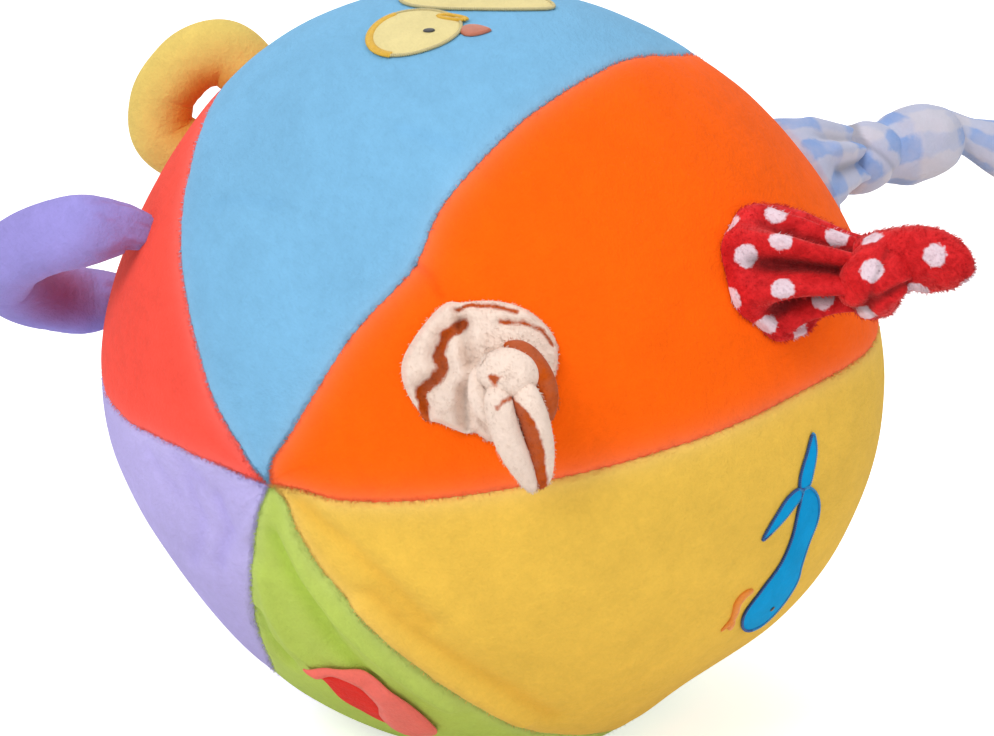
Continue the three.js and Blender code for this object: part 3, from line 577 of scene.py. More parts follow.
def mark_points(piece, rule):
    """Keep rule(place) as the mark of every point of a piece."""
    mesh = piece.data
    layer = mesh.attributes.get("mark") or mesh.attributes.new("mark", "FLOAT", "POINT")
    layer.data.foreach_set("value", [rule(vert.co) for vert in mesh.vertices])


def standing_pile(name, piece, number, size, lean, seed, chosen=None):
    """Fine strands that stand on a piece's points, or on the chosen ones, and lean one way.

    Each is a three-sided spike that takes over the marks of its point. They are made in batches, for speed.
    """
    rng = random.Random(seed)
    mesh = piece.data
    marks = [layer for layer in mesh.attributes if layer.data_type == "FLOAT" and layer.domain == "POINT"]
    chosen = chosen or range(len(mesh.vertices))
    batch_size = 100
    least_rise = 0.15
    whole = bmesh.new()
    batch = bpy.data.meshes.new("strands")
    for start in range(0, number, batch_size):
        bm = bmesh.new()
        layers = [bm.verts.layers.float.new(layer.name) for layer in marks]
        for _ in range(min(batch_size, number - start)):
            index = chosen[rng.randrange(len(chosen))]
            vert = mesh.vertices[index]
            jitter = Vector((rng.uniform(-1, 1), rng.uniform(-1, 1), rng.uniform(-1, 1)))
            away = (vert.normal * 0.75 + lean + jitter * 0.35).normalized()
            if away.dot(vert.normal) < least_rise:
                away = (away + vert.normal * (2 * least_rise - away.dot(vert.normal))).normalized()
            tall = size * rng.uniform(0.6, 1.2)
            place = Matrix.Translation(vert.co + jitter * 0.0003 + away * (tall * 0.4))
            made = bmesh.ops.create_cone(
                bm, cap_ends=False, segments=3, radius1=0.00009, radius2=0.0, depth=tall,
                matrix=place @ away.to_track_quat("Z", "Y").to_matrix().to_4x4(),
            )
            for new in made["verts"]:
                for layer, source in zip(layers, marks):
                    new[layer] = source.data[index].value
        bmesh.ops.remove_doubles(bm, verts=bm.verts, dist=1e-7)
        bm.to_mesh(batch)
        bm.free()
        whole.from_mesh(batch)
    bpy.data.meshes.remove(batch)
    for face in whole.faces:
        face.smooth = True
    return new_piece(whole, name)


def shade(rgb, factor, plus=0.0):
    return tuple(min(1.0, factor * channel + plus) for channel in rgb)


def new_material(name):
    material = bpy.data.materials.new(name)
    material.use_nodes = True
    tree = material.node_tree
    tree.nodes.clear()
    output = tree.nodes.new("ShaderNodeOutputMaterial")
    shader = tree.nodes.new("ShaderNodeBsdfPrincipled")
    tree.links.new(shader.outputs["BSDF"], output.inputs["Surface"])
    return material, tree, shader


def set_inputs(node, **values):
    for key, value in values.items():
        node.inputs[key.replace("_", " ")].default_value = value
    return node


def feed(tree, socket, value):
    """Set a socket to a number or a colour, or link it to another socket."""
    if isinstance(value, (int, float)):
        socket.default_value = value
    elif isinstance(value, tuple):
        socket.default_value = (*value[:3], 1.0)
    else:
        tree.links.new(value, socket)


def new_group(name, inputs, outputs):
    group = bpy.data.node_groups.new(name, "ShaderNodeTree")
    for label, kind, default in inputs:
        socket = group.interface.new_socket(label, in_out="INPUT", socket_type=kind)
        if default is not None:
            socket.default_value = default
    for label, kind in outputs:
        group.interface.new_socket(label, in_out="OUTPUT", socket_type=kind)
    return group, group.nodes.new("NodeGroupInput"), group.nodes.new("NodeGroupOutput")


def noise_node(tree, vector, scale, detail=3.0, rough=0.55, distortion=0.0):
    node = tree.nodes.new("ShaderNodeTexNoise")
    set_inputs(node, Scale=scale, Detail=detail, Roughness=rough, Distortion=distortion)
    tree.links.new(vector, node.inputs["Vector"])
    return node.outputs["Fac"]


def span_node(tree, value, low, high, to_low=0.0, to_high=1.0):
    node = tree.nodes.new("ShaderNodeMapRange")
    set_inputs(node, From_Min=low, From_Max=high, To_Min=to_low, To_Max=to_high)
    tree.links.new(value, node.inputs["Value"])
    return node.outputs["Result"]


def math_node(tree, operation, first, second):
    node = tree.nodes.new("ShaderNodeMath")
    node.operation = operation
    for socket, value in zip(node.inputs, (first, second)):
        feed(tree, socket, value)
    return node.outputs[0]


def mix_node(tree, factor, first, second):
    node = tree.nodes.new("ShaderNodeMix")
    node.data_type = "RGBA"
    for key, value in (("Factor", factor), (6, first), (7, second)):
        feed(tree, node.inputs[key], value)
    return node.outputs[2]


def scale_node(tree, ground, factor):
    node = tree.nodes.new("ShaderNodeVectorMath")
    node.operation = "SCALE"
    tree.links.new(ground, node.inputs[0])
    tree.links.new(factor, node.inputs["Scale"])
    return node.outputs["Vector"]


def attribute_node(tree, name):
    node = tree.nodes.new("ShaderNodeAttribute")
    node.attribute_name = name
    return node.outputs["Fac"]


def raise_relief(tree, shader, height, strength, distance):
    relief = set_inputs(tree.nodes.new("ShaderNodeBump"), Strength=strength, Distance=distance)
    tree.links.new(height, relief.inputs["Height"])
    tree.links.new(relief.outputs["Normal"], shader.inputs["Normal"])


def plush_group():
    """Short pile: brushed patches of lighter and deeper colour, and the grain of the fibres."""
    group = bpy.data.node_groups.get("Plush pile")
    if group:
        return group
    group, inside, outside = new_group(
        "Plush pile",
        [
            ("Vector", "NodeSocketVector", None),
            ("Colour", "NodeSocketColor", (0.5, 0.5, 0.5, 1.0)),
            ("Brushed", "NodeSocketFloat", 0.16),
            ("Grain", "NodeSocketFloat", 0.12),
        ],
        [("Colour", "NodeSocketColor"), ("Height", "NodeSocketFloat")],
    )

    def sum_of(first, second):
        return math_node(group, "ADD", first, second)

    def times(first, second):
        return math_node(group, "MULTIPLY", first, second)
    stretch = group.nodes.new("ShaderNodeMapping")
    set_inputs(stretch, Scale=(1.0, 0.55, 1.0), Rotation=(0.3, 0.5, 0.6))
    group.links.new(inside.outputs["Vector"], stretch.inputs["Vector"])
    combed = stretch.outputs["Vector"]
    patches = noise_node(group, combed, 42.0, 3.0, 0.55, 0.6)
    strokes = noise_node(group, combed, 190.0, 3.0, 0.6, 0.4)
    fibres = noise_node(group, combed, 1700.0, 2.0, 0.6)
    tufts = noise_node(group, combed, 620.0, 2.0, 0.6)
    wide = span_node(group, patches, 0.32, 0.68, -0.5, 0.5)
    fine = span_node(group, strokes, 0.3, 0.7, -0.5, 0.5)
    brushed = times(sum_of(times(wide, 0.55), times(fine, 0.45)), inside.outputs["Brushed"])
    grain = math_node(group, "SUBTRACT", sum_of(fibres, tufts), 1.0)
    change = sum_of(sum_of(brushed, times(grain, inside.outputs["Grain"])), 1.0)
    group.links.new(scale_node(group, inside.outputs["Colour"], change), outside.inputs["Colour"])
    height = sum_of(sum_of(fibres, times(tufts, 1.4)), times(strokes, 1.2))
    group.links.new(height, outside.inputs["Height"])
    return group


def plush_material(
    name, rgb, brushed=0.16, grain=0.12, sheen=0.35, bump=0.35, tint=None, rim=0.0, ground=None,
    rough=0.92, shine=0.12,
):
    """Pile fabric. ground, if given, takes the tree and returns the socket of a patterned colour."""
    material, tree, shader = new_material(name)
    coordinates = tree.nodes.new("ShaderNodeTexCoord")
    pile = tree.nodes.new("ShaderNodeGroup")
    pile.node_tree = plush_group()
    set_inputs(pile, Brushed=brushed, Grain=grain, Colour=(*rgb, 1.0))
    tree.links.new(coordinates.outputs["Object"], pile.inputs["Vector"])
    if ground:
        tree.links.new(ground(tree, coordinates), pile.inputs["Colour"])
    result = pile.outputs["Colour"]
    # Painted highlight: lighter pile where the 'rim' mark is high, along the gores' seams.
    if rim:
        edge = math_node(tree, "MULTIPLY", attribute_node(tree, "rim"), rim)
        result = mix_node(tree, edge, result, shade(rgb, 0.55, 0.45))
    tree.links.new(result, shader.inputs["Base Color"])
    raise_relief(tree, shader, pile.outputs["Height"], bump, 0.0006)
    set_inputs(
        shader, Roughness=rough, Specular_IOR_Level=shine, Sheen_Weight=sheen, Sheen_Roughness=0.42,
        Sheen_Tint=(*(tint or shade(rgb, 0.8, 0.2)), 1.0),
    )
    return material


def thread_material(name, rgb):
    material, tree, shader = new_material(name)
    coordinates = tree.nodes.new("ShaderNodeTexCoord")
    strands = noise_node(tree, coordinates.outputs["Object"], 1400.0, 2.0)
    tree.links.new(mix_node(tree, strands, shade(rgb, 0.72), rgb), shader.inputs["Base Color"])
    set_inputs(shader, Roughness=0.5, Sheen_Weight=0.12)
    raise_relief(tree, shader, strands, 0.3, 0.0002)
    return material


def plastic_material(name, rgb, rough):
    material, tree, shader = new_material(name)
    coordinates = tree.nodes.new("ShaderNodeTexCoord")
    moulding = noise_node(tree, coordinates.outputs["Object"], 260.0, 3.0)
    tree.links.new(mix_node(tree, moulding, shade(rgb, 0.9), rgb), shader.inputs["Base Color"])
    matt = span_node(tree, moulding, 0.3, 0.7, rough - 0.06, rough + 0.08)
    tree.links.new(matt, shader.inputs["Roughness"])
    return material


def put_on(piece, material, body=None, nodes=()):
    """Give a piece its material, the nodes that it stands for and the body that it rides on."""
    piece.data.materials.clear()
    piece.data.materials.append(material)
    if nodes:
        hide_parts(*nodes)
    if body:
        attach(piece, body)
    return piece


# Painted shade: the colour turns to inner where a point's 'inner' mark is high.
def shaded_ground(outer, inner):
    def ground(tree, coordinates):
        return mix_node(tree, attribute_node(tree, "inner"), outer, inner)
    return ground


def deepened(rgb):
    """Painted shade for pile that lies in a fold: a fuller colour that stands in for its own light falling on it
    again.
    """
    strongest = max(rgb)
    return tuple(channel * (0.6 + 0.34 * channel / strongest) for channel in rgb)


def gore_rule(ball, sizes, number, first, last):
    """The rule of one gore's points: place, nearness to a seam, which paints a highlight there, and depth in a
    fold, which paints shade there.
    """
    order = list(SEAMS)
    edges = (order.index(first), order.index(last))
    draw_in = ball.direction(25.6, 90.0) * math.tan(math.radians(1.5))
    pole_gap = 0.25
    stitch_pull, stitch_fade = 0.00017, 0.0012
    shoulder, shoulder_fade = 0.00045, 0.006
    pucker, pucker_fade = 0.00034, 0.0065
    gather, gather_spread = 0.0008, 14.0
    dimple, dimple_spread = 0.0014, 2.4
    rows = {}

    def row(v):
        if v not in rows:
            polar = pole_gap + (180.0 - 2 * pole_gap) * v
            start = on_table(SEAMS[first], polar)
            rows[v] = polar, start, (on_table(SEAMS[last], polar) - start) % 360
        return rows[v]

    def placed(u, v):
        polar, start, span = row(v)
        share = 0.72 * (0.5 - 0.5 * math.cos(math.pi * u)) + 0.28 * u
        level = ball.radius * math.sin(math.radians(polar))
        across = level * math.radians(span)
        to_seam = min(share, 1.0 - share) * across
        along = ball.radius * math.radians(polar)
        edge = edges[0] if share < 0.5 else edges[1]
        room = min(1.0, across / 0.02)
        stitch = math.sin(TURN * along / sizes.stitch + 2.0 * edge)
        stitch *= 0.6 + 0.5 * noise.noise((along / 0.004, edge, 1.0))
        wobble = stitch_pull * stitch * math.exp(-to_seam / stitch_fade) * room
        unit = ball.direction(start + span * share + math.degrees(wobble / level), polar)
        unit = (unit + draw_in * bell(polar, 9.0)).normalized()
        roll = (1.0 - smooth_step(0.0, sizes.seam_roll * (0.5 + 0.5 * room), to_seam)) ** 1.5
        lift = -sizes.seam_depth * roll * (0.6 + 0.4 * room) - shoulder * math.exp(-to_seam / shoulder_fade)
        drawn = noise.noise((along / 0.008, 7.3 * edge, 0.0))
        drawn += 0.6 * noise.noise((along / 0.0034, 3.1 * edge, 5.0))
        lift += pucker * drawn * math.exp(-to_seam / pucker_fade) * room
        poles = math.exp(-polar / gather_spread) + math.exp((polar - 180.0) / gather_spread)
        lift += gather * poles * room * noise.noise((share * 7.0 + 11.0 * number, polar / 22.0, 2.0))
        lift -= dimple * bell(polar, dimple_spread) + dimple * bell(180.0 - polar, dimple_spread)
        # Painted shade: how strongly the fold colour darkens a point that lies in a fold valley.
        painted_fold_shade = 0.75 * smooth_step(0.0, 0.0018, -ball.folded(unit))
        # The second value paints a highlight along the seams.
        return ball.point(unit, lift), math.exp(-to_seam / 0.002), painted_fold_shade
    return placed


class BALL_OT_gores(Operator):
    """Sew the six gores of the cover"""
    bl_idname = "plush_ball.gores"
    bl_label = "Gores"

    def execute(self, context):
        sizes = context.scene.ball_sizes
        ball = BallShape(sizes)
        near_seam = 0.6
        for number, (name, seams) in enumerate(GORES.items()):
            panel = grid_piece(
                f"gore_{name}", sizes.across, sizes.along, gore_rule(ball, sizes, number, *seams),
                ("rim", "inner"), closed=False, flip_from=ball.centre,
            )
            wall = panel.modifiers.new("Cover", "SOLIDIFY")
            wall.thickness = sizes.cover
            wall.offset = -1.0
            rgb = tuple(getattr(context.scene.plush_colours, name))
            # Painted shade in the fold valleys, from the 'inner' mark.
            folds = shaded_ground(rgb, deepened(rgb))
            # rim paints the highlight along the seams.
            material = plush_material(f"Plush {name}", rgb, sheen=0.16, rim=0.16, ground=folds)
            put_on(panel, material, "ball", (f"panel_{name}",))
            rims = panel.data.attributes["rim"].data
            chosen = [index for index, rim in enumerate(rims) if rim.value > near_seam]
            pile = standing_pile(
                f"gore_{name}_seam_pile", panel, sizes.seam_pile, sizes.seam_pile_length, UP * -0.15,
                number, chosen,
            )
            put_on(pile, material, "ball")
        return {"FINISHED"}


def yellow_route(ball, stand):
    """Points of the upright loop, the way across its plane and the way out. Its feet stand on the cover."""
    level = 0.051
    angle = math.radians(142.7)
    out = Vector((math.cos(angle), 0.0, math.sin(angle)))
    along = Vector((-out.z, 0.0, out.x))
    base = Vector((ball.centre.x, level, ball.centre.z))
    surface = math.sqrt(ball.radius ** 2 - level ** 2)
    half = 0.0136
    middle = 0.0146
    crown = 0.0108
    spread = 0.019

    def at(u, v):
        return base + along * u + out * (surface + v)

    def foot(side):
        reach = surface
        for _ in range(12):
            offset = base + along * (side * spread) + out * reach - ball.centre
            reach -= offset.length - ball.reach(offset.normalized()) - stand
        return base + along * (side * spread) + out * reach

    arm = ((1.0, middle - 0.005), (0.94, middle + crown * 0.45), (0.5, middle + crown * 0.9))
    points = [foot(-1), *(at(-half * u, v) for u, v in arm), at(0, middle + crown)]
    points += [*(at(half * u, v) for u, v in reversed(arm)), foot(1)]
    return points, Vector((0, 1, 0)), out


def violet_route(ball, stand):
    """Points of the lying loop, the way across its plane and the way out."""
    start = ball.point(ball.direction(52.0, 50.6), stand)
    finish = ball.point(ball.direction(82.0, 74.5), stand)
    middle = (start + finish) / 2
    half = (finish - start).length / 2
    across = (finish - start).normalized()
    out = Vector((-1.0, 0.0, -0.12))
    out = (out - across * out.dot(across)).normalized()
    reach = 0.027
    arm = ((0.98, 0.35), (0.79, 0.66), (0.42, 0.92))

    def at(u, v):
        return middle + across * (half * u) + out * (reach * v)

    points = [start, *(at(-u, v) for u, v in arm), at(0, 1), *(at(u, v) for u, v in reversed(arm)), finish]
    return points, across.cross(out).normalized(), out


def loop_piece(
    name, ball, route, sizes, wide, deep, seed, shrink, fill, dip=0.0062, painted_shade_from=(0.0, 0.3),
):
    """A stuffed tube along a route, drawn in and folded at its sewn ends, which turn down into the cover."""
    points, plane, _ = route
    beyond_foot = 0.06
    near = 0.006
    leaving = 0.0024

    def middle_at(t):
        if 0 <= t <= 1:
            ahead = spline(points, min(1.0, t + near)) - spline(points, max(0.0, t - near))
            return spline(points, t), ahead.normalized()
        last = t > 1
        end = points[-1] if last else points[0]
        leave = (end - spline(points, 1.0 - near if last else near)).normalized()
        inward = (ball.centre - end).normalized()
        share = (t - 1 if last else -t) / beyond_foot
        ahead = (leave * (leaving * (1 - 0.5 * share)) + inward * (2 * share * dip)).normalized()
        place = end + leave * (leaving * (share - 0.25 * share ** 2)) + inward * (dip * share ** 2)
        return place, ahead if last else -ahead

    def placed(u, v):
        t = -beyond_foot + (1 + 2 * beyond_foot) * v
        middle, ahead = middle_at(t)
        across = plane.cross(ahead).normalized()
        along = ahead.cross(across)
        angle = TURN * u
        rise = quarter((min(t, 1.0 - t) + beyond_foot) / (fill + beyond_foot))
        width = sizes.end_radius + (wide - sizes.end_radius) * rise
        depth = sizes.end_radius + (deep - sizes.end_radius) * rise
        fold = (1.0 - rise) * (0.07 * math.cos(5 * angle + seed) + 0.04 * math.cos(9 * angle + 2 * seed))
        ripple = noise.noise((t * 9.0 + seed, 1.6 * math.cos(angle), 1.6 * math.sin(angle)))
        crease = max(0.0, -math.cos(angle)) * rise * noise.noise((t * 30.0, seed, 1.0))
        swell = 1.0 + fold + 0.025 * ripple - 0.03 * crease
        place = middle.copy()
        if 0.001 < v < 0.999:
            place += across * ((width * swell - shrink) * math.cos(angle))
            place += along * ((depth * swell - shrink) * math.sin(angle))
        # Painted shade: the 'inner' mark darkens the loop's inner side along part of its length, and its
        # gathered sewn ends in streaks, where shade falls.
        dark = smooth_step(-0.1, 1.0, -math.cos(angle))
        dark *= smooth_step(*painted_shade_from, t) * smooth_step(1.0, 0.7, t)
        gathered = smooth_step(0.13, 0.0, min(t, 1.0 - t))
        gathered *= 0.35 + 0.65 * max(0.0, math.cos(6 * angle + 9 * ripple)) ** 2
        return place, max(dark, 0.75 * gathered)
    return grid_piece(name, 44, 120, placed, ("inner",), size=(0.05, 0.1))


class BALL_OT_loops(Operator):
    """Stuff and sew on the two finger loops"""
    bl_idname = "plush_ball.loops"
    bl_label = "Finger loops"

    def execute(self, context):
        sizes = context.scene.loop_sizes
        colours = context.scene.plush_colours
        ball = BallShape(context.scene.ball_sizes)
        wadding = plush_material(
            "Wadding in loops", tuple(colours.wadding), brushed=0.08, grain=0.2, sheen=0.1,
        )
        skin_gap = 0.0004
        fill_gap = 0.0026
        fill_dip = 0.001
        plan = (
            ("yellow", yellow_route, 0.22, (0.0, 0.3), "gold", 1.3),
            ("violet", violet_route, 0.16, (0.4, 0.75), "violet", 4.1),
        )

        def sewn_down(spot):
            return 1.0 - smooth_step(1.0, 3.6, ball.above(spot) / sizes.end_radius)

        for name, make_route, fill, painted_shade_from, tone, seed in plan:
            wide = getattr(sizes, f"{name}_wide")
            deep = getattr(sizes, f"{name}_deep")
            rgb = tuple(getattr(colours, tone))
            # Painted shade on the inner side and sewn ends, and on the violet loop a painted reflection of the
            # red gore.
            inside = shaded_ground(rgb, tuple(getattr(colours, f"{tone}_shade")))
            route = make_route(ball, sizes.end_radius + 0.00035)
            points, _, out = route
            hinge = (points[0] + points[-1]) / 2
            skin = loop_piece(
                f"loop_{name}_plush", ball, route, sizes, wide, deep, seed, skin_gap, fill,
                painted_shade_from=painted_shade_from,
            )
            stuff(skin, sewn_down, sizes.pressure, sizes.swelling)
            finer = skin.modifiers.new("Smooth", "SUBSURF")
            finer.levels = finer.render_levels = 1
            material = plush_material(f"Plush loop {name}", rgb, brushed=0.2, sheen=0.22, ground=inside)
            core = loop_piece(
                f"loop_{name}_wadding", ball, route, sizes, wide, deep, seed, fill_gap, fill, fill_dip,
            )
            for piece, cloth, slot, node in (
                (skin, material, f"plush_{tone}", f"loop_{name}"),
                (core, wadding, "fibre_fill", f"loop_{name}_fill"),
            ):
                put_on(piece, cloth, None, (node,))
                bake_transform(piece, "ball", f"{name}_loop", start=hinge - out * 0.003, end=hinge + out * 0.006)
        return {"FINISHED"}


class TailShape:
    """The places of one knotted tail, which its table gives in its sewn frame."""

    def __init__(self, ball, spec):
        self.ball = ball
        self.sewn = ball.sewn(*spec["base"])
        self.right, self.up, self.out = (self.sewn.to_3x3().col[k].copy() for k in range(3))
        self.foot = self.sewn.translation
        self.radius = spec["radius"] * MM
        self.neck = self.at(spec["neck"])
        self.knot = self.at(spec["knot"])
        self.ahead = (self.knot - self.neck).normalized()
        self.neck_radius = spec["neck_radius"] * MM
        self.knot_radius = spec["knot_radius"] * MM

    def at(self, xyz):
        return self.sewn @ (Vector(xyz) * MM)

    def places(self, spots):
        return [self.at(spot) for spot in spots]

    def ring(self, towards):
        """Two directions across towards, the first close to the sewn frame's right."""
        across = (self.right - towards * self.right.dot(towards)).normalized()
        return across, towards.cross(across)


def tail_flare(name, tail, valleys, slope=1.25, puff=0.0026, soft=0.1, turn=(0.0, 0.3)):
    """Gathered cloth from its sewn rim on the cover to the neck in the knot, with folds at valleys."""
    ball = tail.ball
    end = tail.neck + tail.ahead * 0.0055
    bend = tail.foot + tail.out * ((tail.neck - tail.foot).dot(tail.out) * 0.45)
    lobes = 0.12
    hem = 0.12

    def fold(angle):
        total = 0.0
        for middle, depth, width in valleys:
            away = abs((math.degrees(angle) - middle + 180.0) % 360.0 - 180.0)
            total += depth * (bell(away, width) - 0.35 * bell(away - 1.7 * width, width))
        return total

    def placed(u, v):
        angle = TURN * u
        sunk = fold(angle)
        rim = tail.radius * (1.0 - lobes * sunk + 0.02 * math.cos(7 * angle))
        if v < hem:
            rim *= 0.72 + 0.28 * quarter(v / hem)
            return ball.on_cover(tail.sewn, rim * math.cos(angle), rim * math.sin(angle), SEWN_LIFT), 0.0
        s = (v - hem) / (1 - hem)
        lift = SEWN_LIFT + puff * quarter(s / soft)
        low = ball.on_cover(tail.sewn, rim * math.cos(angle), rim * math.sin(angle), lift)
        middle, ahead = curve(tail.foot, bend, end, s)
        across, along = tail.ring(ahead)
        profile = tail.neck_radius + (tail.radius - tail.neck_radius) * (1 - s) ** slope
        depth = 0.1 + 1.5 * smooth_step(0.08, 0.42, s)
        ripple = noise.noise((2.5 * math.cos(angle), 2.5 * math.sin(angle), 5.0 * s + tail.radius * 900))
        swell = 1.0 - depth * sunk + 0.05 * ripple
        upper = middle + (across * math.cos(angle) + along * math.sin(angle)) * (profile * max(0.4, swell))
        # The second value paints shade in the fold valleys.
        return low.lerp(upper, smooth_step(*turn, s)), smooth_step(0.04, 0.3, depth * sunk)
    inside = tail.foot - tail.out * 0.01
    return grid_piece(name, 180, 72, placed, ("fold",), size=(0.09, 0.03), closed=False, flip_from=inside)


def rosette(name, tail):
    """The cream tail's gathered rosette: soft rounded lobes between fold lines.

    Each point is marked with its distance to the brown streaks, in millimetres, and its depth in a fold, which
    paints shade there.
    """
    ball = tail.ball
    middle = Vector((4.5, -1.5)) * MM
    spokes = [Vector(spot) * MM - middle for spot in ROSETTE_RIM]
    edge = sorted((math.atan2(spoke.y, spoke.x), spoke.length) for spoke in spokes)
    before = [(angle - TURN, reach) for angle, reach in edge[-2:]]
    after = [(angle + TURN, reach) for angle, reach in edge[:2]]
    edge = before + edge + after
    lines = [
        (depth * MM, width * MM, brown * MM, [Vector(spot) * MM for spot in line])
        for depth, width, brown, line in ROSETTE_FOLDS
    ]
    hem = 0.1
    neck = 0.0038
    puff = 0.0030
    crown = 0.0042
    stalk = 0.0105
    deepest = 0.0034

    def placed(u, v):
        angle = TURN * u - math.pi
        reach = on_table(edge, angle)
        way = Vector((math.cos(angle), math.sin(angle)))
        if v < hem:
            spot = middle + way * (reach * (0.74 + 0.26 * quarter(v / hem)))
            return ball.on_cover(tail.sewn, spot.x, spot.y, SEWN_LIFT), FAR, 0.0
        s = (v - hem) / (1 - hem)
        share = 1.0 - (1.0 - neck / reach) * smooth_step(0.0, 0.88, s) ** 0.8
        spot = middle + way * (reach * share)
        lift = SEWN_LIFT + puff * quarter((1.0 - share) / 0.13)
        lift += crown * smooth_step(0.95, 0.35, share)
        lift += stalk * smooth_step(0.74, 1.0, s)
        hold = smooth_step(0.0, 0.1, 1.0 - share) * (1.0 - smooth_step(0.8, 1.0, s))
        ragged = 1.0 + 0.35 * noise.noise((spot.x * 420, spot.y * 420, 1.0))
        mark = FAR
        sunk = 0.0
        for depth, width, brown, line in lines:
            away = near_line(spot, line)
            sunk += depth * (bell(away, width) - 0.25 * bell(away - 1.9 * width, width))
            if brown:
                mark = min(mark, (away - brown * ragged) / MM)
        lift = max(0.0005, lift - min(sunk, deepest) * hold)
        lift += 0.0003 * noise.noise((spot.x * 300, spot.y * 300, 3.0))
        # The last value paints shade in the fold lines.
        return ball.on_cover(tail.sewn, spot.x, spot.y, lift), mark, smooth_step(0.0006, 0.003, sunk * hold)
    inside = tail.foot - tail.out * 0.02
    return grid_piece(
        name, 150, 84, placed, ("mark", "fold"), size=(0.09, 0.03), closed=False, flip_from=inside,
    )


def knot_ring(name, tail, tilt, turn, long_half, thick, gap, dent=0.17):
    """The turn of cloth that the tail is pulled through: a plump slanting ring with fold lines."""
    across, along = tail.ring(tail.ahead)
    lean = Matrix.Rotation(tilt, 3, across) @ Matrix.Rotation(turn, 3, tail.ahead)
    across = lean @ across
    axis = lean @ tail.ahead
    along = axis.cross(across)
    hole = tail.knot_radius - thick

    def placed(u, v):
        angle = TURN * u
        around = TURN * v
        out = across * math.cos(around) + along * math.sin(around)
        pinch = 1.0 - 0.25 * bell(math.sin(around / 2 + 0.6), 0.35)
        lumps = noise.noise((2 * math.cos(around), 2 * math.sin(around), 2 * math.cos(angle)))
        size = thick * pinch * (1.0 + 0.08 * lumps)
        pull = max(0.0, math.cos(2 * angle + 2 * around)) ** 6
        pull += 0.7 * max(0.0, math.cos(3 * angle - around + 1.0)) ** 8
        crease = 1.0 - dent * pull
        place = (
            tail.knot
            + out * (hole + size * crease * math.cos(angle))
            + axis * (long_half * pinch * crease * math.sin(angle) + gap * math.sin(around))
        )
        # The mark paints shade in the creases.
        return place, 0.8 * smooth_step(0.35, 1.0, pull)
    return grid_piece(name, 72, 120, placed, ("fold",), size=(0.04, 0.06))


def blob(name, middle, right, up, out, dents=()):
    """A soft closed lump with half-axes right, up and out, and dents (direction, depth, width) pressed in."""
    dents = [(Vector(way).normalized(), depth, width) for way, depth, width in dents]

    def placed(u, v):
        around = TURN * u
        polar = math.pi * v
        level = math.sin(polar)
        unit = Vector((math.cos(around) * level, math.sin(around) * level, math.cos(polar)))
        size = 1.0 + 0.03 * noise.noise(unit * 2.0)
        for way, depth, width in dents:
            size -= depth * bell((unit - way).length, width)
        return middle + (right * unit.x + up * unit.y + out * unit.z) * size, FAR
    return grid_piece(name, 64, 40, placed, ("mark",), size=(0.04, 0.02))


def tube(name, points, radii, mark=FAR, flat=1.0):
    """A strand of cloth along points, with radii in millimetres at each, rounded off at both ends."""
    table = [(k / (len(radii) - 1), radius * MM) for k, radius in enumerate(radii)]
    near = 0.01

    def placed(u, v):
        angle = TURN * u
        middle = spline(points, v)
        ahead = (spline(points, min(1.0, v + near)) - spline(points, max(0.0, v - near))).normalized()
        across = ahead.cross(Vector((0.3, 1.0, 0.2))).normalized()
        along = ahead.cross(across)
        ends = math.sqrt(max(0.0, 1.0 - abs(2 * v - 1) ** 8))
        size = on_table(table, v) * ends
        return middle + across * (size * math.cos(angle)) + along * (size * flat * math.sin(angle)), mark
    return grid_piece(name, 28, 44, placed, ("mark",), size=(0.02, 0.03))


def tail_link(
    name, line, facing, wide, thick, root, groove, tuck, notch=0.0, blunt=0.0, point=2.4, shoulder=0.6,
    opens=0.45,
):
    """One free length of a tail along line (start, bend, tip), with its sizes in millimetres.

    It leaves the knot narrow, widens until opens, and rounds off from shoulder, with a groove along its face.
    """
    start, bend, tip = line
    first = (bend - start).normalized()
    tuck = tuck * MM / (tip - start).length

    def placed(u, v):
        angle = TURN * u
        s = -tuck + v * (1.0 + tuck)
        if s < 0:
            middle = start + first * (s * (tip - start).length)
            ahead = first
        else:
            middle, ahead = curve(start, bend, tip, s)
        across = facing.cross(ahead).normalized()
        front = ahead.cross(across)
        open_out = smooth_step(-0.02, opens, s)
        cap = math.sqrt(max(0.0, 1.0 - max(0.0, (s - shoulder) / (1.0 - shoulder)) ** point))
        cap = max(cap, 0.0 if v > 0.995 else blunt * (1 - smooth_step(0.94, 1.0, s)))
        if v < 0.004:
            cap = 0.0
        width = (root + (wide - root) * open_out) * cap
        depth = (root + (thick - root) * open_out) * cap
        x = math.cos(angle)
        y = math.sin(angle)
        ripple = 1.0 + 0.06 * noise.noise((2 * x + wide, 2 * y, s * 5.0))
        crease = groove * bell(x - 0.12, 0.25) * smooth_step(0.1, 0.35, s) * max(0.0, y) * cap
        side = 1.0 - notch * max(0.0, x) * smooth_step(0.75, 1.0, s)
        place = across * (width * x * ripple * side) + front * (depth * y * ripple - crease)
        return middle + place * MM, FAR
    return grid_piece(name, 64, 80, placed, ("mark",), size=(0.05, 0.028))


def scatter_dots(pieces, step, fixed, seed):
    """Dot middles spread over the points of pieces, at least step apart, after the fixed ones."""
    spots = [vert.co.copy() for piece in pieces for vert in piece.data.vertices]
    middles = [min(spots, key=lambda spot: (spot - wanted).length) for wanted in fixed]
    random.Random(seed).shuffle(spots)
    for spot in spots:
        if all((spot - other).length > step for other in middles):
            middles.append(spot)
    return middles


def painted_shade_in_folds(tree, ground, depth):
    """Painted shade: a ground that darkens where the cloth is folded in."""
    return scale_node(tree, ground, span_node(tree, attribute_node(tree, "fold"), 0.0, 1.0, 1.0, 1.0 - depth))


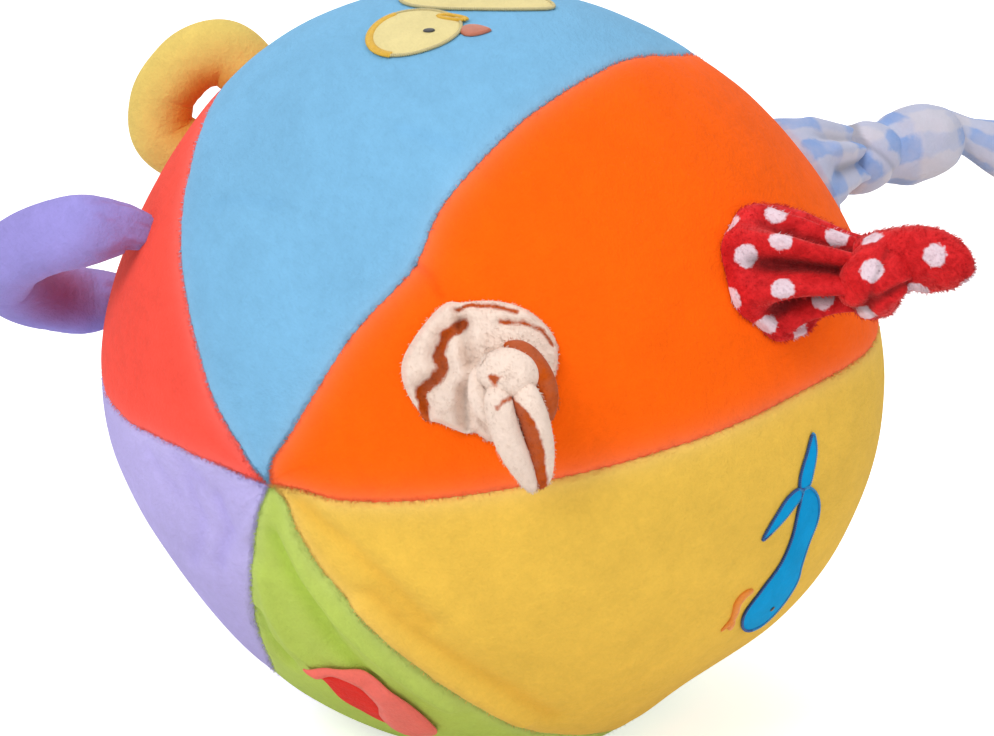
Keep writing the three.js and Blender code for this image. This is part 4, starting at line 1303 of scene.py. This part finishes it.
def ragged_mark(tree, coordinates, scale, detail, width):
    """The distance marked on the cloth, with an uneven edge."""
    uneven = noise_node(tree, coordinates.outputs["Object"], scale, detail)
    wobble = span_node(tree, uneven, 0.2, 0.8, -width, width)
    return math_node(tree, "ADD", attribute_node(tree, "mark"), wobble)


def dotted_ground(red, white, radius):
    def ground(tree, coordinates):
        reach = ragged_mark(tree, coordinates, 900.0, 2.0, 0.45)
        strokes = noise_node(tree, coordinates.outputs["Object"], 330.0, 4.0, 0.65, 0.8)
        velvet = mix_node(tree, span_node(tree, strokes, 0.36, 0.66), shade(red, 0.8), shade(red, 1.16, 0.01))
        outside = span_node(tree, reach, radius / MM - 0.25, radius / MM + 0.25)
        return painted_shade_in_folds(tree, mix_node(tree, outside, white, velvet), 0.7)
    return ground


def streaked_ground(cream, brown):
    def ground(tree, coordinates):
        edge = ragged_mark(tree, coordinates, 700.0, 3.0, 0.35)
        print_tone = noise_node(tree, coordinates.outputs["Object"], 240.0, 3.0)
        worn = tuple(0.8 * b + 0.06 * c for b, c in zip(brown, cream))
        rust = mix_node(tree, span_node(tree, print_tone, 0.35, 0.65), brown, worn)
        return painted_shade_in_folds(tree, mix_node(tree, span_node(tree, edge, -0.35, 0.3), rust, cream), 0.22)
    return ground


def check_ground(white, blue, width, height):
    def ground(tree, coordinates):
        split = tree.nodes.new("ShaderNodeSeparateXYZ")
        tree.links.new(coordinates.outputs["UV"], split.inputs["Vector"])
        wobble = noise_node(tree, coordinates.outputs["Object"], 160.0, 3.0)
        shift = span_node(tree, wobble, 0.3, 0.7, -0.0012, 0.0012)

        def stripes(axis, step, low, high):
            wave = math_node(tree, "PINGPONG", math_node(tree, "ADD", split.outputs[axis], shift), step)
            return span_node(tree, wave, step * low, step * high)
        column = stripes("X", width, 0.4, 0.6)
        row = stripes("Y", height, 0.42, 0.58)
        apart = math_node(tree, "ABSOLUTE", math_node(tree, "SUBTRACT", column, row), 0.0)
        both = math_node(tree, "MULTIPLY", column, row)
        single = math_node(tree, "MULTIPLY", apart, 0.3)
        strength = math_node(tree, "ADD", single, math_node(tree, "MULTIPLY", both, 0.95))
        strength = math_node(tree, "MULTIPLY", strength, span_node(tree, wobble, 0.3, 0.7, 0.6, 1.0))
        return painted_shade_in_folds(tree, mix_node(tree, strength, white, blue), 0.5)
    return ground


def dress_tail(plan, material, pile=None):
    """Give each piece of a tail its material, node and body.

    A plan row is piece, node, bodies, hinge place and way, pile count and seed. pile is its length and lean.
    """
    for piece, node, bodies, pivot, way, strands, seed in plan:
        cloths = [piece]
        if strands:
            cloths.append(standing_pile(f"{piece.name}_pile", piece, strands, *pile, seed))
        for cloth in cloths:
            body = None if len(bodies) > 1 else bodies[0]
            put_on(cloth, material, body, (node,) if cloth is piece else ())
        if len(bodies) > 1:
            for cloth in cloths:
                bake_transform(cloth, *bodies, start=pivot - way * 0.005, end=pivot + way * 0.003)


class BALL_OT_cream_tail(Operator):
    """Tie the cream tail with brown streaks"""
    bl_idname = "plush_ball.cream_tail"
    bl_label = "Cream tail"

    def execute(self, context):
        colours = context.scene.plush_colours
        sizes = context.scene.tail_sizes
        tail = TailShape(BallShape(context.scene.ball_sizes), TAILS["cream"])
        inverse = tail.sewn.inverted()
        streak = [Vector(place) for place in LONG_LOBE_STREAK]
        flare = rosette("tail_cream_gather", tail)
        hood = blob(
            "hood", tail.at((6.7, -2.3, 15.6)),
            tail.right * 6.6 * MM, tail.up * 5.9 * MM, tail.out * 6.0 * MM,
            (((-0.75, -0.5, 0.5), 0.12, 0.3), ((0.75, -0.55, 0.5), 0.1, 0.3), ((0.0, -0.9, 0.6), 0.12, 0.3)),
        )
        strands = {
            name: tube(name, tail.places(spots), radii, mark, flat)
            for name, (spots, radii, mark, flat) in CREAM_STRANDS.items()
        }

        def hood_marks(spot):
            """A small three-sided streak."""
            x, y, z = (inverse @ spot) / MM
            sides = (
                (y + 2.1) + 0.1 * (x - 4.0),
                -0.86 * (x - 2.5) - 0.5 * (y + 2.1),
                0.8 * (x - 5.6) - 0.6 * (y + 2.4),
            )
            return max(sides) + 0.35 * noise.noise((x / 1.5, y / 1.5, z / 1.5)) if z > 15 else FAR

        def long_marks(spot):
            return near_line((inverse @ spot).xy / MM, streak) - 0.4

        def short_marks(spot):
            x, y = (inverse @ spot).xy / MM
            return x - on_table(SHORT_LOBE_EDGE, y) + 0.4 * noise.noise((x / 1.6, y / 1.6, 0.0))
        mark_points(hood, hood_marks)
        mark_points(strands["long_lobe"], long_marks)
        mark_points(strands["short_lobe"], short_marks)
        knot = join_pieces("tail_cream_turn", hood, strands["band"], strands["tuck"])
        end = join_pieces("tail_cream_free_end", strands["long_lobe"], strands["short_lobe"])
        start = tail.at((8.6, -10.9, 19.6))
        first = (tail.at((9.0, -17.0, 18.2)) - start).normalized()
        material = plush_material(
            "Plush cream streaked", tuple(colours.cream), brushed=0.12, grain=0.12, sheen=0.18,
            ground=streaked_ground(tuple(colours.cream), tuple(colours.brown)),
        )
        plan = (
            (flare, "tail_cream_flare", ("ball", "cream_knot"), tail.neck, tail.ahead, sizes.pile_count, 3),
            (knot, "tail_cream_knot", ("cream_knot",), None, None, sizes.pile_count // 3, 4),
            (end, "tail_cream_end", ("cream_knot", "cream_end"), start, first, sizes.pile_count // 3, 5),
        )
        lean = tail.up * -0.5 + tail.right * 0.1
        dress_tail(plan, material, (sizes.pile_length * 0.6, lean))
        return {"FINISHED"}


class BALL_OT_dotted_tail(Operator):
    """Tie the red tail with white dots"""
    bl_idname = "plush_ball.dotted_tail"
    bl_label = "Dotted tail"

    def execute(self, context):
        colours = context.scene.plush_colours
        sizes = context.scene.tail_sizes
        tail = TailShape(BallShape(context.scene.ball_sizes), TAILS["dotted"])
        flare = tail_flare(
            "tail_dotted_gather", tail, DOTTED_VALLEYS, puff=0.0038, soft=0.24, turn=(-0.05, 0.5),
        )
        knot = knot_ring("tail_dotted_turn", tail, 0.5, 0.9, 7.4 * MM, 5.6 * MM, 1.6 * MM)
        pivot = tail.at((5.6, -9.4, 32.2))
        way = (tail.at((6.0, -10.0, 37.0)) - pivot).normalized()
        facing = (tail.up.cross(way) + tail.up * 0.5).normalized()
        end_line = tail.places(((6.2, -5.4, 25.0), (9.0, -6.4, 35.0), (7.4, -12.6, 44.8)))
        end = tail_link(
            "tail_dotted_free_end", end_line, facing, wide=7.6, thick=5.6, root=6.6, groove=2.2, tuck=5.0,
            notch=0.2, blunt=0.2, point=1.6, shoulder=0.45,
        )
        strands = sizes.pile_count
        middles = scatter_dots((flare, knot, end), sizes.dot_step, tail.places(FRONT_DOTS), 11)
        for piece in (flare, knot, end):
            mark_points(piece, lambda spot: min((spot - middle).length for middle in middles) / MM)
        material = plush_material(
            "Plush red dotted", tuple(colours.dotted), brushed=0.2, grain=0.2, sheen=0.5, bump=0.4,
            tint=(1.0, 0.26, 0.24), rough=0.7, shine=0.2,
            ground=dotted_ground(tuple(colours.dotted), tuple(colours.dots), sizes.dot_radius),
        )
        plan = (
            (flare, "tail_dotted_flare", ("ball", "dotted_knot"), tail.neck, tail.ahead, strands, 21),
            (knot, "tail_dotted_knot", ("dotted_knot",), None, None, strands // 2, 23),
            (end, "tail_dotted_end", ("dotted_knot", "dotted_end"), pivot, way, strands // 2, 22),
        )
        lean = tail.ahead * 0.8 - tail.up * 0.2
        dress_tail(plan, material, (sizes.pile_length, lean))
        return {"FINISHED"}


class BALL_OT_check_tail(Operator):
    """Tie the blue and white check tail"""
    bl_idname = "plush_ball.check_tail"
    bl_label = "Check tail"

    def execute(self, context):
        colours = context.scene.plush_colours
        sizes = context.scene.tail_sizes
        tail = TailShape(BallShape(context.scene.ball_sizes), TAILS["check"])
        flare = tail_flare("tail_check_gather", tail, CHECK_VALLEYS, 1.1)
        knot = knot_ring("tail_check_turn", tail, -0.35, 2.1, 8.6 * MM, 5.0 * MM, 2.4 * MM, dent=0.11)
        middle_line = tail.places(((5.6, -9.8, 25.4), (6.0, -12.5, 31.5), (7.5, -17.3, 47.6)))
        end_line = tail.places(((7.4, -17.9, 47.6), (6.2, -25.0, 54.0), (1.0, -40.0, 67.0)))
        first = (middle_line[1] - middle_line[0]).normalized()
        second = (end_line[1] - end_line[0]).normalized()
        facing = tail.up.cross(first).normalized()
        swelling = tail_link(
            "tail_check_swelling", middle_line, facing,
            wide=9.6, thick=9.4, root=7.6, groove=1.6, tuck=8.0, blunt=0.5,
        )
        end = tail_link(
            "tail_check_free_end", end_line, facing,
            wide=8.4, thick=5.6, root=4.6, groove=1.6, tuck=5.0, notch=0.1, blunt=0.3, opens=0.8,
        )
        white = tuple(colours.check_white)
        checks = check_ground(white, tuple(colours.check_blue), sizes.check_width, sizes.check_height)
        material = plush_material(
            "Cloth blue check", white, brushed=0.08, grain=0.05, sheen=0.25, bump=0.2, ground=checks,
        )
        plan = (
            (flare, "tail_check_flare", ("ball", "check_knot"), tail.neck, tail.ahead, 0, 0),
            (knot, "tail_check_knot", ("check_knot",), None, None, 0, 0),
            (swelling, "tail_check_middle", ("check_knot", "check_middle"), middle_line[0], first, 0, 0),
            (end, "tail_check_end", ("check_middle", "check_end"), end_line[0], second, 0, 0),
        )
        dress_tail(plan, material)
        return {"FINISHED"}


def oval(x, y, half_long, half_wide, turn, taper=0.0, count=72, point=0.0):
    """Outline of an oval, tapered towards its far end and, with point, sharpened there."""
    points = []
    c = math.cos(math.radians(turn))
    s = math.sin(math.radians(turn))
    for index in range(count):
        angle = TURN * index / count
        u = half_long * math.cos(angle)
        v = half_wide * math.sin(angle) * (1 - taper * math.cos(angle))
        v *= abs(math.sin(angle)) ** (point * smooth_step(-0.2, 0.6, math.cos(angle)))
        points.append(Vector((x + u * c - v * s, y + u * s + v * c)))
    return points


def smooth_outline(corners, count):
    """A rounded closed outline through corners."""
    ring = [Vector((x, y, 0.0)) for x, y in corners]
    ring = ring[-1:] + ring + ring[:2]
    inner = len(ring) - 1
    return [spline(ring, (1 + k / count * len(corners)) / inner).xy for k in range(count)]


def patch_piece(name, ball, sewn_frame, outline, lift, thick, dome=0.0):
    """A sewn-on patch: a domed top that follows the cover, a rounded edge and a flat underside."""
    corners = len(outline)
    middle = sum(outline, Vector((0.0, 0.0))) / corners
    top = 0.6
    edge = 0.15
    brim = 0.965

    def placed(u, v):
        spot = outline[round(u * corners) % corners]
        if v <= top:
            share = (v / top) ** 0.8 * brim
            height = lift + thick + dome * (1 - share ** 2.5) - 0.25 * thick * smooth_step(0.86, brim, share)
        elif v <= top + edge:
            share = brim + (1 - brim) * math.sin((v - top) / edge * math.pi / 2)
            height = lift + 0.75 * thick * (1 - (v - top) / edge)
        else:
            share = (1 - v) / (1 - top - edge)
            height = lift
        local = (middle + (spot - middle) * share) * MM
        return ball.on_cover(sewn_frame, local.x, local.y, height * MM)
    return grid_piece(name, corners, 26, placed, size=(0.05, 0.02))


def strip_piece(name, ball, sewn_frame, outline, lift, thick):
    """A flap of any outline: two filled faces a thickness apart with a rounded edge, laid on the cover."""
    bm = bmesh.new()
    uv = bm.loops.layers.uv.new("UVMap")
    bmesh.ops.create_circle(bm, cap_ends=True, segments=len(outline), radius=1.0)
    bm.verts.ensure_lookup_table()
    for vert, spot in zip(bm.verts, outline):
        vert.co = (spot.x, spot.y, 0.0)
    bmesh.ops.triangulate(bm, faces=bm.faces)
    for _ in range(2):
        inner = [edge for edge in bm.edges if not edge.is_boundary]
        bmesh.ops.subdivide_edges(bm, edges=inner, cuts=1)
        bmesh.ops.triangulate(bm, faces=bm.faces)
    ring = [vert.co.xy.copy() for vert in bm.verts if vert.is_boundary]
    made = bmesh.ops.extrude_face_region(bm, geom=bm.faces[:])
    upper = {item for item in made["geom"] if isinstance(item, bmesh.types.BMVert)}
    for face in bm.faces:
        for loop in face.loops:
            loop[uv].uv = (loop.vert.co.x * MM, loop.vert.co.y * MM)
    for vert in list(bm.verts):
        away = min((vert.co.xy - spot).length for spot in ring)
        height = lift + (thick * (0.45 + 0.55 * smooth_step(0.0, 1.6, away)) if vert in upper else 0.0)
        vert.co = ball.on_cover(sewn_frame, vert.co.x * MM, vert.co.y * MM, height * MM)
    return finish_mesh(bm, name)


def stitch_ring(name, ball, sewn_frame, outline, step, reach, lift, width=0.34, part=(0.0, 1.0)):
    """Close satin stitches across an outline, or across the part between two shares of its length."""
    bm = bmesh.new()
    closed = outline + outline[:1]
    lengths = [0.0]
    for first, second in zip(closed, closed[1:]):
        lengths.append(lengths[-1] + (second - first).length)
    total = lengths[-1]
    number = max(6, round(total / step))
    thread = 0.42
    rise = 0.15

    def laid(spot, height):
        return ball.on_cover(sewn_frame, spot.x * MM, spot.y * MM, height * MM)

    index = 0
    for k in range(number):
        share = k / number
        if not part[0] <= share <= part[1]:
            continue
        want = share * total
        while lengths[index + 1] < want:
            index += 1
        along = (want - lengths[index]) / (lengths[index + 1] - lengths[index])
        spot = closed[index].lerp(closed[index + 1], along)
        ahead = (closed[index + 1] - closed[index]).normalized()
        side = Vector((ahead.y, -ahead.x)) * reach
        middle = laid(spot, lift + rise)
        x = (laid(spot + side, lift) - laid(spot - side, lift)).normalized()
        y = (middle - ball.centre).normalized().cross(x).normalized()
        turn = Matrix((x, y, x.cross(y))).transposed().to_4x4()
        size = Matrix.Diagonal((reach * 1.15 * MM, width * MM, thread * MM, 1.0))
        place = Matrix.Translation(middle) @ turn @ size
        bmesh.ops.create_uvsphere(bm, u_segments=6, v_segments=5, radius=1.0, matrix=place)
    return finish_mesh(bm, name)


def sew_patches(ball, sewn_frame, plan):
    """Sew on a figure's patches. A plan row is node, outline, lift, thickness, dome, material and slot."""
    for name, outline, lift, thick, dome, material, slot in plan:
        patch = patch_piece(f"{name}_patch", ball, sewn_frame, outline, lift, thick, dome)
        put_on(patch, material, "ball", (name,))


class BALL_OT_duckling(Operator):
    """Sew the duckling on the blue gore"""
    bl_idname = "plush_ball.duckling"
    bl_label = "Duckling"

    def execute(self, context):
        colours = context.scene.plush_colours
        ball = BallShape(context.scene.ball_sizes)
        sewn = ball.sewn(359.0, 73.3)
        slot = "plush_pale_yellow"
        plush = plush_material("Plush duckling", tuple(colours.duck), brushed=0.14)
        gold = thread_material("Thread gold", tuple(colours.stitch_gold))
        beak = thread_material("Thread beak", tuple(colours.beak))
        dark = thread_material("Thread eye", tuple(colours.eye))
        pale = thread_material("Thread pale", shade(colours.duck, 0.8))
        head = oval(-1.2, 2, 10.6, 10.2, 25, 0.12)
        body = oval(2, 26.8, 19, 11.5, 18, 0.25, 90)
        bill = oval(12.1, 6.6, 3.6, 2.3, 30, 0.4, 40, 0.3)
        eye = oval(3, 1.6, 1.35, 0.85, 20, 0, 24)
        cheek = oval(-0.7, 1.8, 10.4, 9.9, 25, 0.12)
        tuft = oval(4.6, 9.4, 3.4, 1.0, 5, 0.2, 30)
        sew_patches(ball, sewn, (
            ("duck_head", head, 0.1, 0.5, 0.3, plush, slot),
            ("duck_body", body, 0.1, 0.5, 0.4, plush, slot),
            ("duck_beak", bill, 0.1, 0.6, 0.25, beak, "stitch_orange"),
            ("duck_eye", eye, 0.95, 0.2, 0.1, dark, "stitch_dark"),
        ))
        for name, outline, step, reach, lift, part, thread in (
            ("head", head, 0.5, 0.4, 0.3, (0.0, 1.0), pale),
            ("body", body, 0.5, 0.4, 0.3, (0.0, 1.0), pale),
            ("cheek", cheek, 0.45, 1.0, 0.45, (0.33, 0.68), gold),
            ("tuft", tuft, 0.45, 0.6, 0.6, (0.0, 1.0), gold),
        ):
            ring = stitch_ring(f"duck_{name}_stitches", ball, sewn, outline, step, reach, lift, part=part)
            put_on(ring, thread, "ball")
        return {"FINISHED"}


class BALL_OT_bird(Operator):
    """Sew the bird on the yellow gore"""
    bl_idname = "plush_ball.bird"
    bl_label = "Bird"

    def execute(self, context):
        colours = context.scene.plush_colours
        ball = BallShape(context.scene.ball_sizes)
        sewn = ball.sewn(253.0, 80.0)
        slot = "satin_blue"
        satin = plush_material(
            "Satin bird", tuple(colours.bird), brushed=0.3, grain=0.08, sheen=0.06, bump=0.15,
        )
        navy = thread_material("Thread navy", tuple(colours.stitch_navy))
        deep = thread_material("Thread blue", shade(colours.bird, 0.85))
        dark = thread_material("Thread bird eye", tuple(colours.eye))
        amber = thread_material("Thread feet", tuple(colours.foot))
        body = smooth_outline(BIRD_BODY, 96)
        tail = smooth_outline(BIRD_TAIL, 56)
        wing = smooth_outline(BIRD_WING, 56)
        eye = oval(4.6, -17.5, 0.7, 0.7, 0, 0, 24)
        sew_patches(ball, sewn, (
            ("bird_body", body, 0.1, 0.45, 0.35, satin, slot),
            ("bird_tail", tail, 0.1, 0.45, 0.2, satin, slot),
            ("bird_wing", wing, 0.1, 0.45, 0.2, satin, slot),
            ("bird_eye", eye, 0.85, 0.15, 0.1, dark, "stitch_dark"),
        ))
        strands = []
        for number, line in enumerate(BIRD_FEET):
            places = [ball.on_cover(sewn, x * MM, y * MM, 0.25 * MM) for x, y in line]
            strands.append(tube(f"strand_{number}", places, (0.75, 0.95, 0.8, 0.45)))
        feet = join_pieces("bird_feet", *strands)
        put_on(feet, amber, "ball", ("bird_beak",))
        for name, outline, split in (("body", body, 0.52), ("tail", tail, 0.5), ("wing", wing, 0.45)):
            for side, thread, part in (("right", deep, (0.0, split)), ("left", navy, (split, 1.0))):
                stitches = f"bird_{name}_{side}_stitches"
                ring = stitch_ring(stitches, ball, sewn, outline, 0.5, 0.3, 0.25, 0.27, part)
                put_on(ring, thread, "ball")
        return {"FINISHED"}


class BALL_OT_pocket(Operator):
    """Sew the pocket and its flap on the green gore"""
    bl_idname = "plush_ball.pocket"
    bl_label = "Pocket"

    def execute(self, context):
        colours = context.scene.plush_colours
        ball = BallShape(context.scene.ball_sizes)
        sewn = ball.sewn(188.0, 40.0, -46.0)
        slot = "plush_pocket_red"
        deep = plush_material("Plush pocket", tuple(colours.pocket), brushed=0.25)
        # Painted highlight: the flap's salmon colour stands in for the red plush's sheen at a grazing angle.
        pale = plush_material("Plush flap", tuple(colours.flap), brushed=0.2, sheen=0.6)
        backing = smooth_outline(POCKET_BACKING, 80)
        sew_patches(ball, sewn, (("pocket_backing", backing, 0.1, 0.5, 0.1, deep, slot),))
        flap = strip_piece("pocket_flap_patch", ball, sewn, smooth_outline(POCKET_FLAP, 108), 0.85, 0.9)
        put_on(flap, pale, None, ("pocket_flap",))
        hinge = ball.on_cover(sewn, 0.0, 8.6 * MM, 2.0 * MM)
        down = (ball.on_cover(sewn, 0.0, 6.0 * MM, 2.0 * MM) - hinge).normalized()
        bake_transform(flap, "ball", "pocket_flap_body", start=hinge - down * 0.001, end=hinge + down * 0.0015)
        return {"FINISHED"}


class BALL_OT_filling(Operator):
    """Fill the ball with wadding and finish the rattle"""
    bl_idname = "plush_ball.filling"
    bl_label = "Filling and rattle"

    def execute(self, context):
        colours = context.scene.plush_colours
        wadding = plush_material(
            "Wadding", tuple(colours.wadding), brushed=0.1, grain=0.25, sheen=0.1, bump=0.6,
        )
        for side in ("front", "back"):
            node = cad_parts[f"stuffing_{side}"]
            bm = bmesh.new()
            bm.from_mesh(node.data)
            bm.transform(node.matrix_world)
            bmesh.ops.remove_doubles(bm, verts=bm.verts, dist=1e-5)
            bmesh.ops.triangulate(bm, faces=bm.faces)
            bmesh.ops.subdivide_edges(bm, edges=bm.edges, cuts=1, use_grid_fill=True)
            bm.normal_update()
            for vert in bm.verts:
                vert.co -= vert.normal * (0.0006 + 0.0005 * noise.noise(vert.co * 120.0))
            clump = finish_mesh(bm, f"wadding_{side}")
            put_on(clump, wadding, "ball", (f"stuffing_{side}",))
        case = plastic_material("Rattle case", tuple(colours.case), 0.42)
        bead = plastic_material("Rattle bead", tuple(colours.bead), 0.3)
        for name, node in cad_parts.items():
            if name.startswith("rattle_"):
                node.data.materials.clear()
                node.data.materials.append(bead if "bead" in name else case)
        return {"FINISHED"}


def background_rays(tree):
    """1 where a ray comes from the camera, a mirror or glass, and 0 where it lights the object."""
    path = tree.nodes.new("ShaderNodeLightPath")
    seen = math_node(tree, "MAXIMUM", path.outputs["Is Camera Ray"], path.outputs["Is Glossy Ray"])
    return math_node(tree, "MAXIMUM", seen, path.outputs["Is Transmission Ray"])


class BALL_OT_stage(Operator):
    """Set the floor, the light and the camera"""
    bl_idname = "plush_ball.stage"
    bl_label = "Stage"

    def execute(self, context):
        scene = context.scene
        scene.view_settings.view_transform = "Standard"
        white = (1.0, 1.0, 1.0, 1.0)
        bm = bmesh.new()
        bmesh.ops.create_grid(bm, x_segments=1, y_segments=1, size=8.0)
        floor = new_piece(bm, "floor")
        material, tree, shader = new_material("Floor white")
        set_inputs(shader, Base_Color=(0.92, 0.92, 0.92, 1.0), Roughness=0.9, Emission_Color=white)
        glow = math_node(tree, "MULTIPLY", background_rays(tree), 0.6)
        tree.links.new(glow, shader.inputs["Emission Strength"])
        floor.data.materials.append(material)

        world = bpy.data.worlds.new("Studio")
        scene.world = world
        world.use_nodes = True
        tree = world.node_tree
        tree.nodes.clear()
        output = tree.nodes.new("ShaderNodeOutputWorld")
        sky = set_inputs(tree.nodes.new("ShaderNodeBackground"), Color=white)
        tree.links.new(span_node(tree, background_rays(tree), 0.0, 1.0, 0.42, 1.0), sky.inputs["Strength"])
        tree.links.new(sky.outputs["Background"], output.inputs["Surface"])

        aim = BallShape(scene.ball_sizes).centre
        for name, (place, size, power) in LAMPS.items():
            light = bpy.data.lights.new(name, "AREA")
            light.shape = "DISK"
            light.size = size
            light.energy = power
            lamp = bpy.data.objects.new(name, light)
            lamp.location = place
            lamp.rotation_euler = (aim - Vector(place)).to_track_quat("-Z", "Y").to_euler()
            scene.collection.objects.link(lamp)

        lens = bpy.data.cameras.new("camera")
        lens.sensor_width = SENSOR_WIDTH
        lens.lens = SENSOR_WIDTH * FOCAL_PIXELS / PHOTO_WIDTH
        lens.clip_start = 0.01
        camera = bpy.data.objects.new("camera", lens)
        camera.location = CAMERA_PLACE
        camera.rotation_euler = (math.radians(CAMERA_TILT), 0.0, 0.0)
        scene.collection.objects.link(camera)
        scene.camera = camera
        return {"FINISHED"}


class BALL_PT_panel(Panel):
    bl_label = "Plush activity ball"
    bl_idname = "BALL_PT_panel"
    bl_space_type = "VIEW_3D"
    bl_region_type = "UI"
    bl_category = "Plush Ball"

    def draw(self, context):
        for operator in OPERATORS:
            self.layout.operator(operator.bl_idname)


GROUPS = {
    "ball_sizes": BallSizes, "loop_sizes": LoopSizes, "tail_sizes": TailSizes, "plush_colours": PlushColours,
}
OPERATORS = (
    BALL_OT_stage, BALL_OT_gores, BALL_OT_loops, BALL_OT_cream_tail, BALL_OT_dotted_tail, BALL_OT_check_tail,
    BALL_OT_duckling, BALL_OT_bird, BALL_OT_pocket, BALL_OT_filling,
)


def register():
    for name, group in GROUPS.items():
        bpy.utils.register_class(group)
        setattr(bpy.types.Scene, name, PointerProperty(type=group))
    for operator in OPERATORS:
        bpy.utils.register_class(operator)
    bpy.utils.register_class(BALL_PT_panel)


def unregister():
    bpy.utils.unregister_class(BALL_PT_panel)
    for operator in reversed(OPERATORS):
        bpy.utils.unregister_class(operator)
    for name, group in GROUPS.items():
        delattr(bpy.types.Scene, name)
        bpy.utils.unregister_class(group)


def main():
    register()
    bpy.ops.plush_ball.stage()
    bpy.ops.plush_ball.gores()
    bpy.ops.plush_ball.loops()
    bpy.ops.plush_ball.cream_tail()
    bpy.ops.plush_ball.dotted_tail()
    bpy.ops.plush_ball.check_tail()
    bpy.ops.plush_ball.duckling()
    bpy.ops.plush_ball.bird()
    bpy.ops.plush_ball.pocket()
    bpy.ops.plush_ball.filling()


if __name__ == "__main__":
    main()
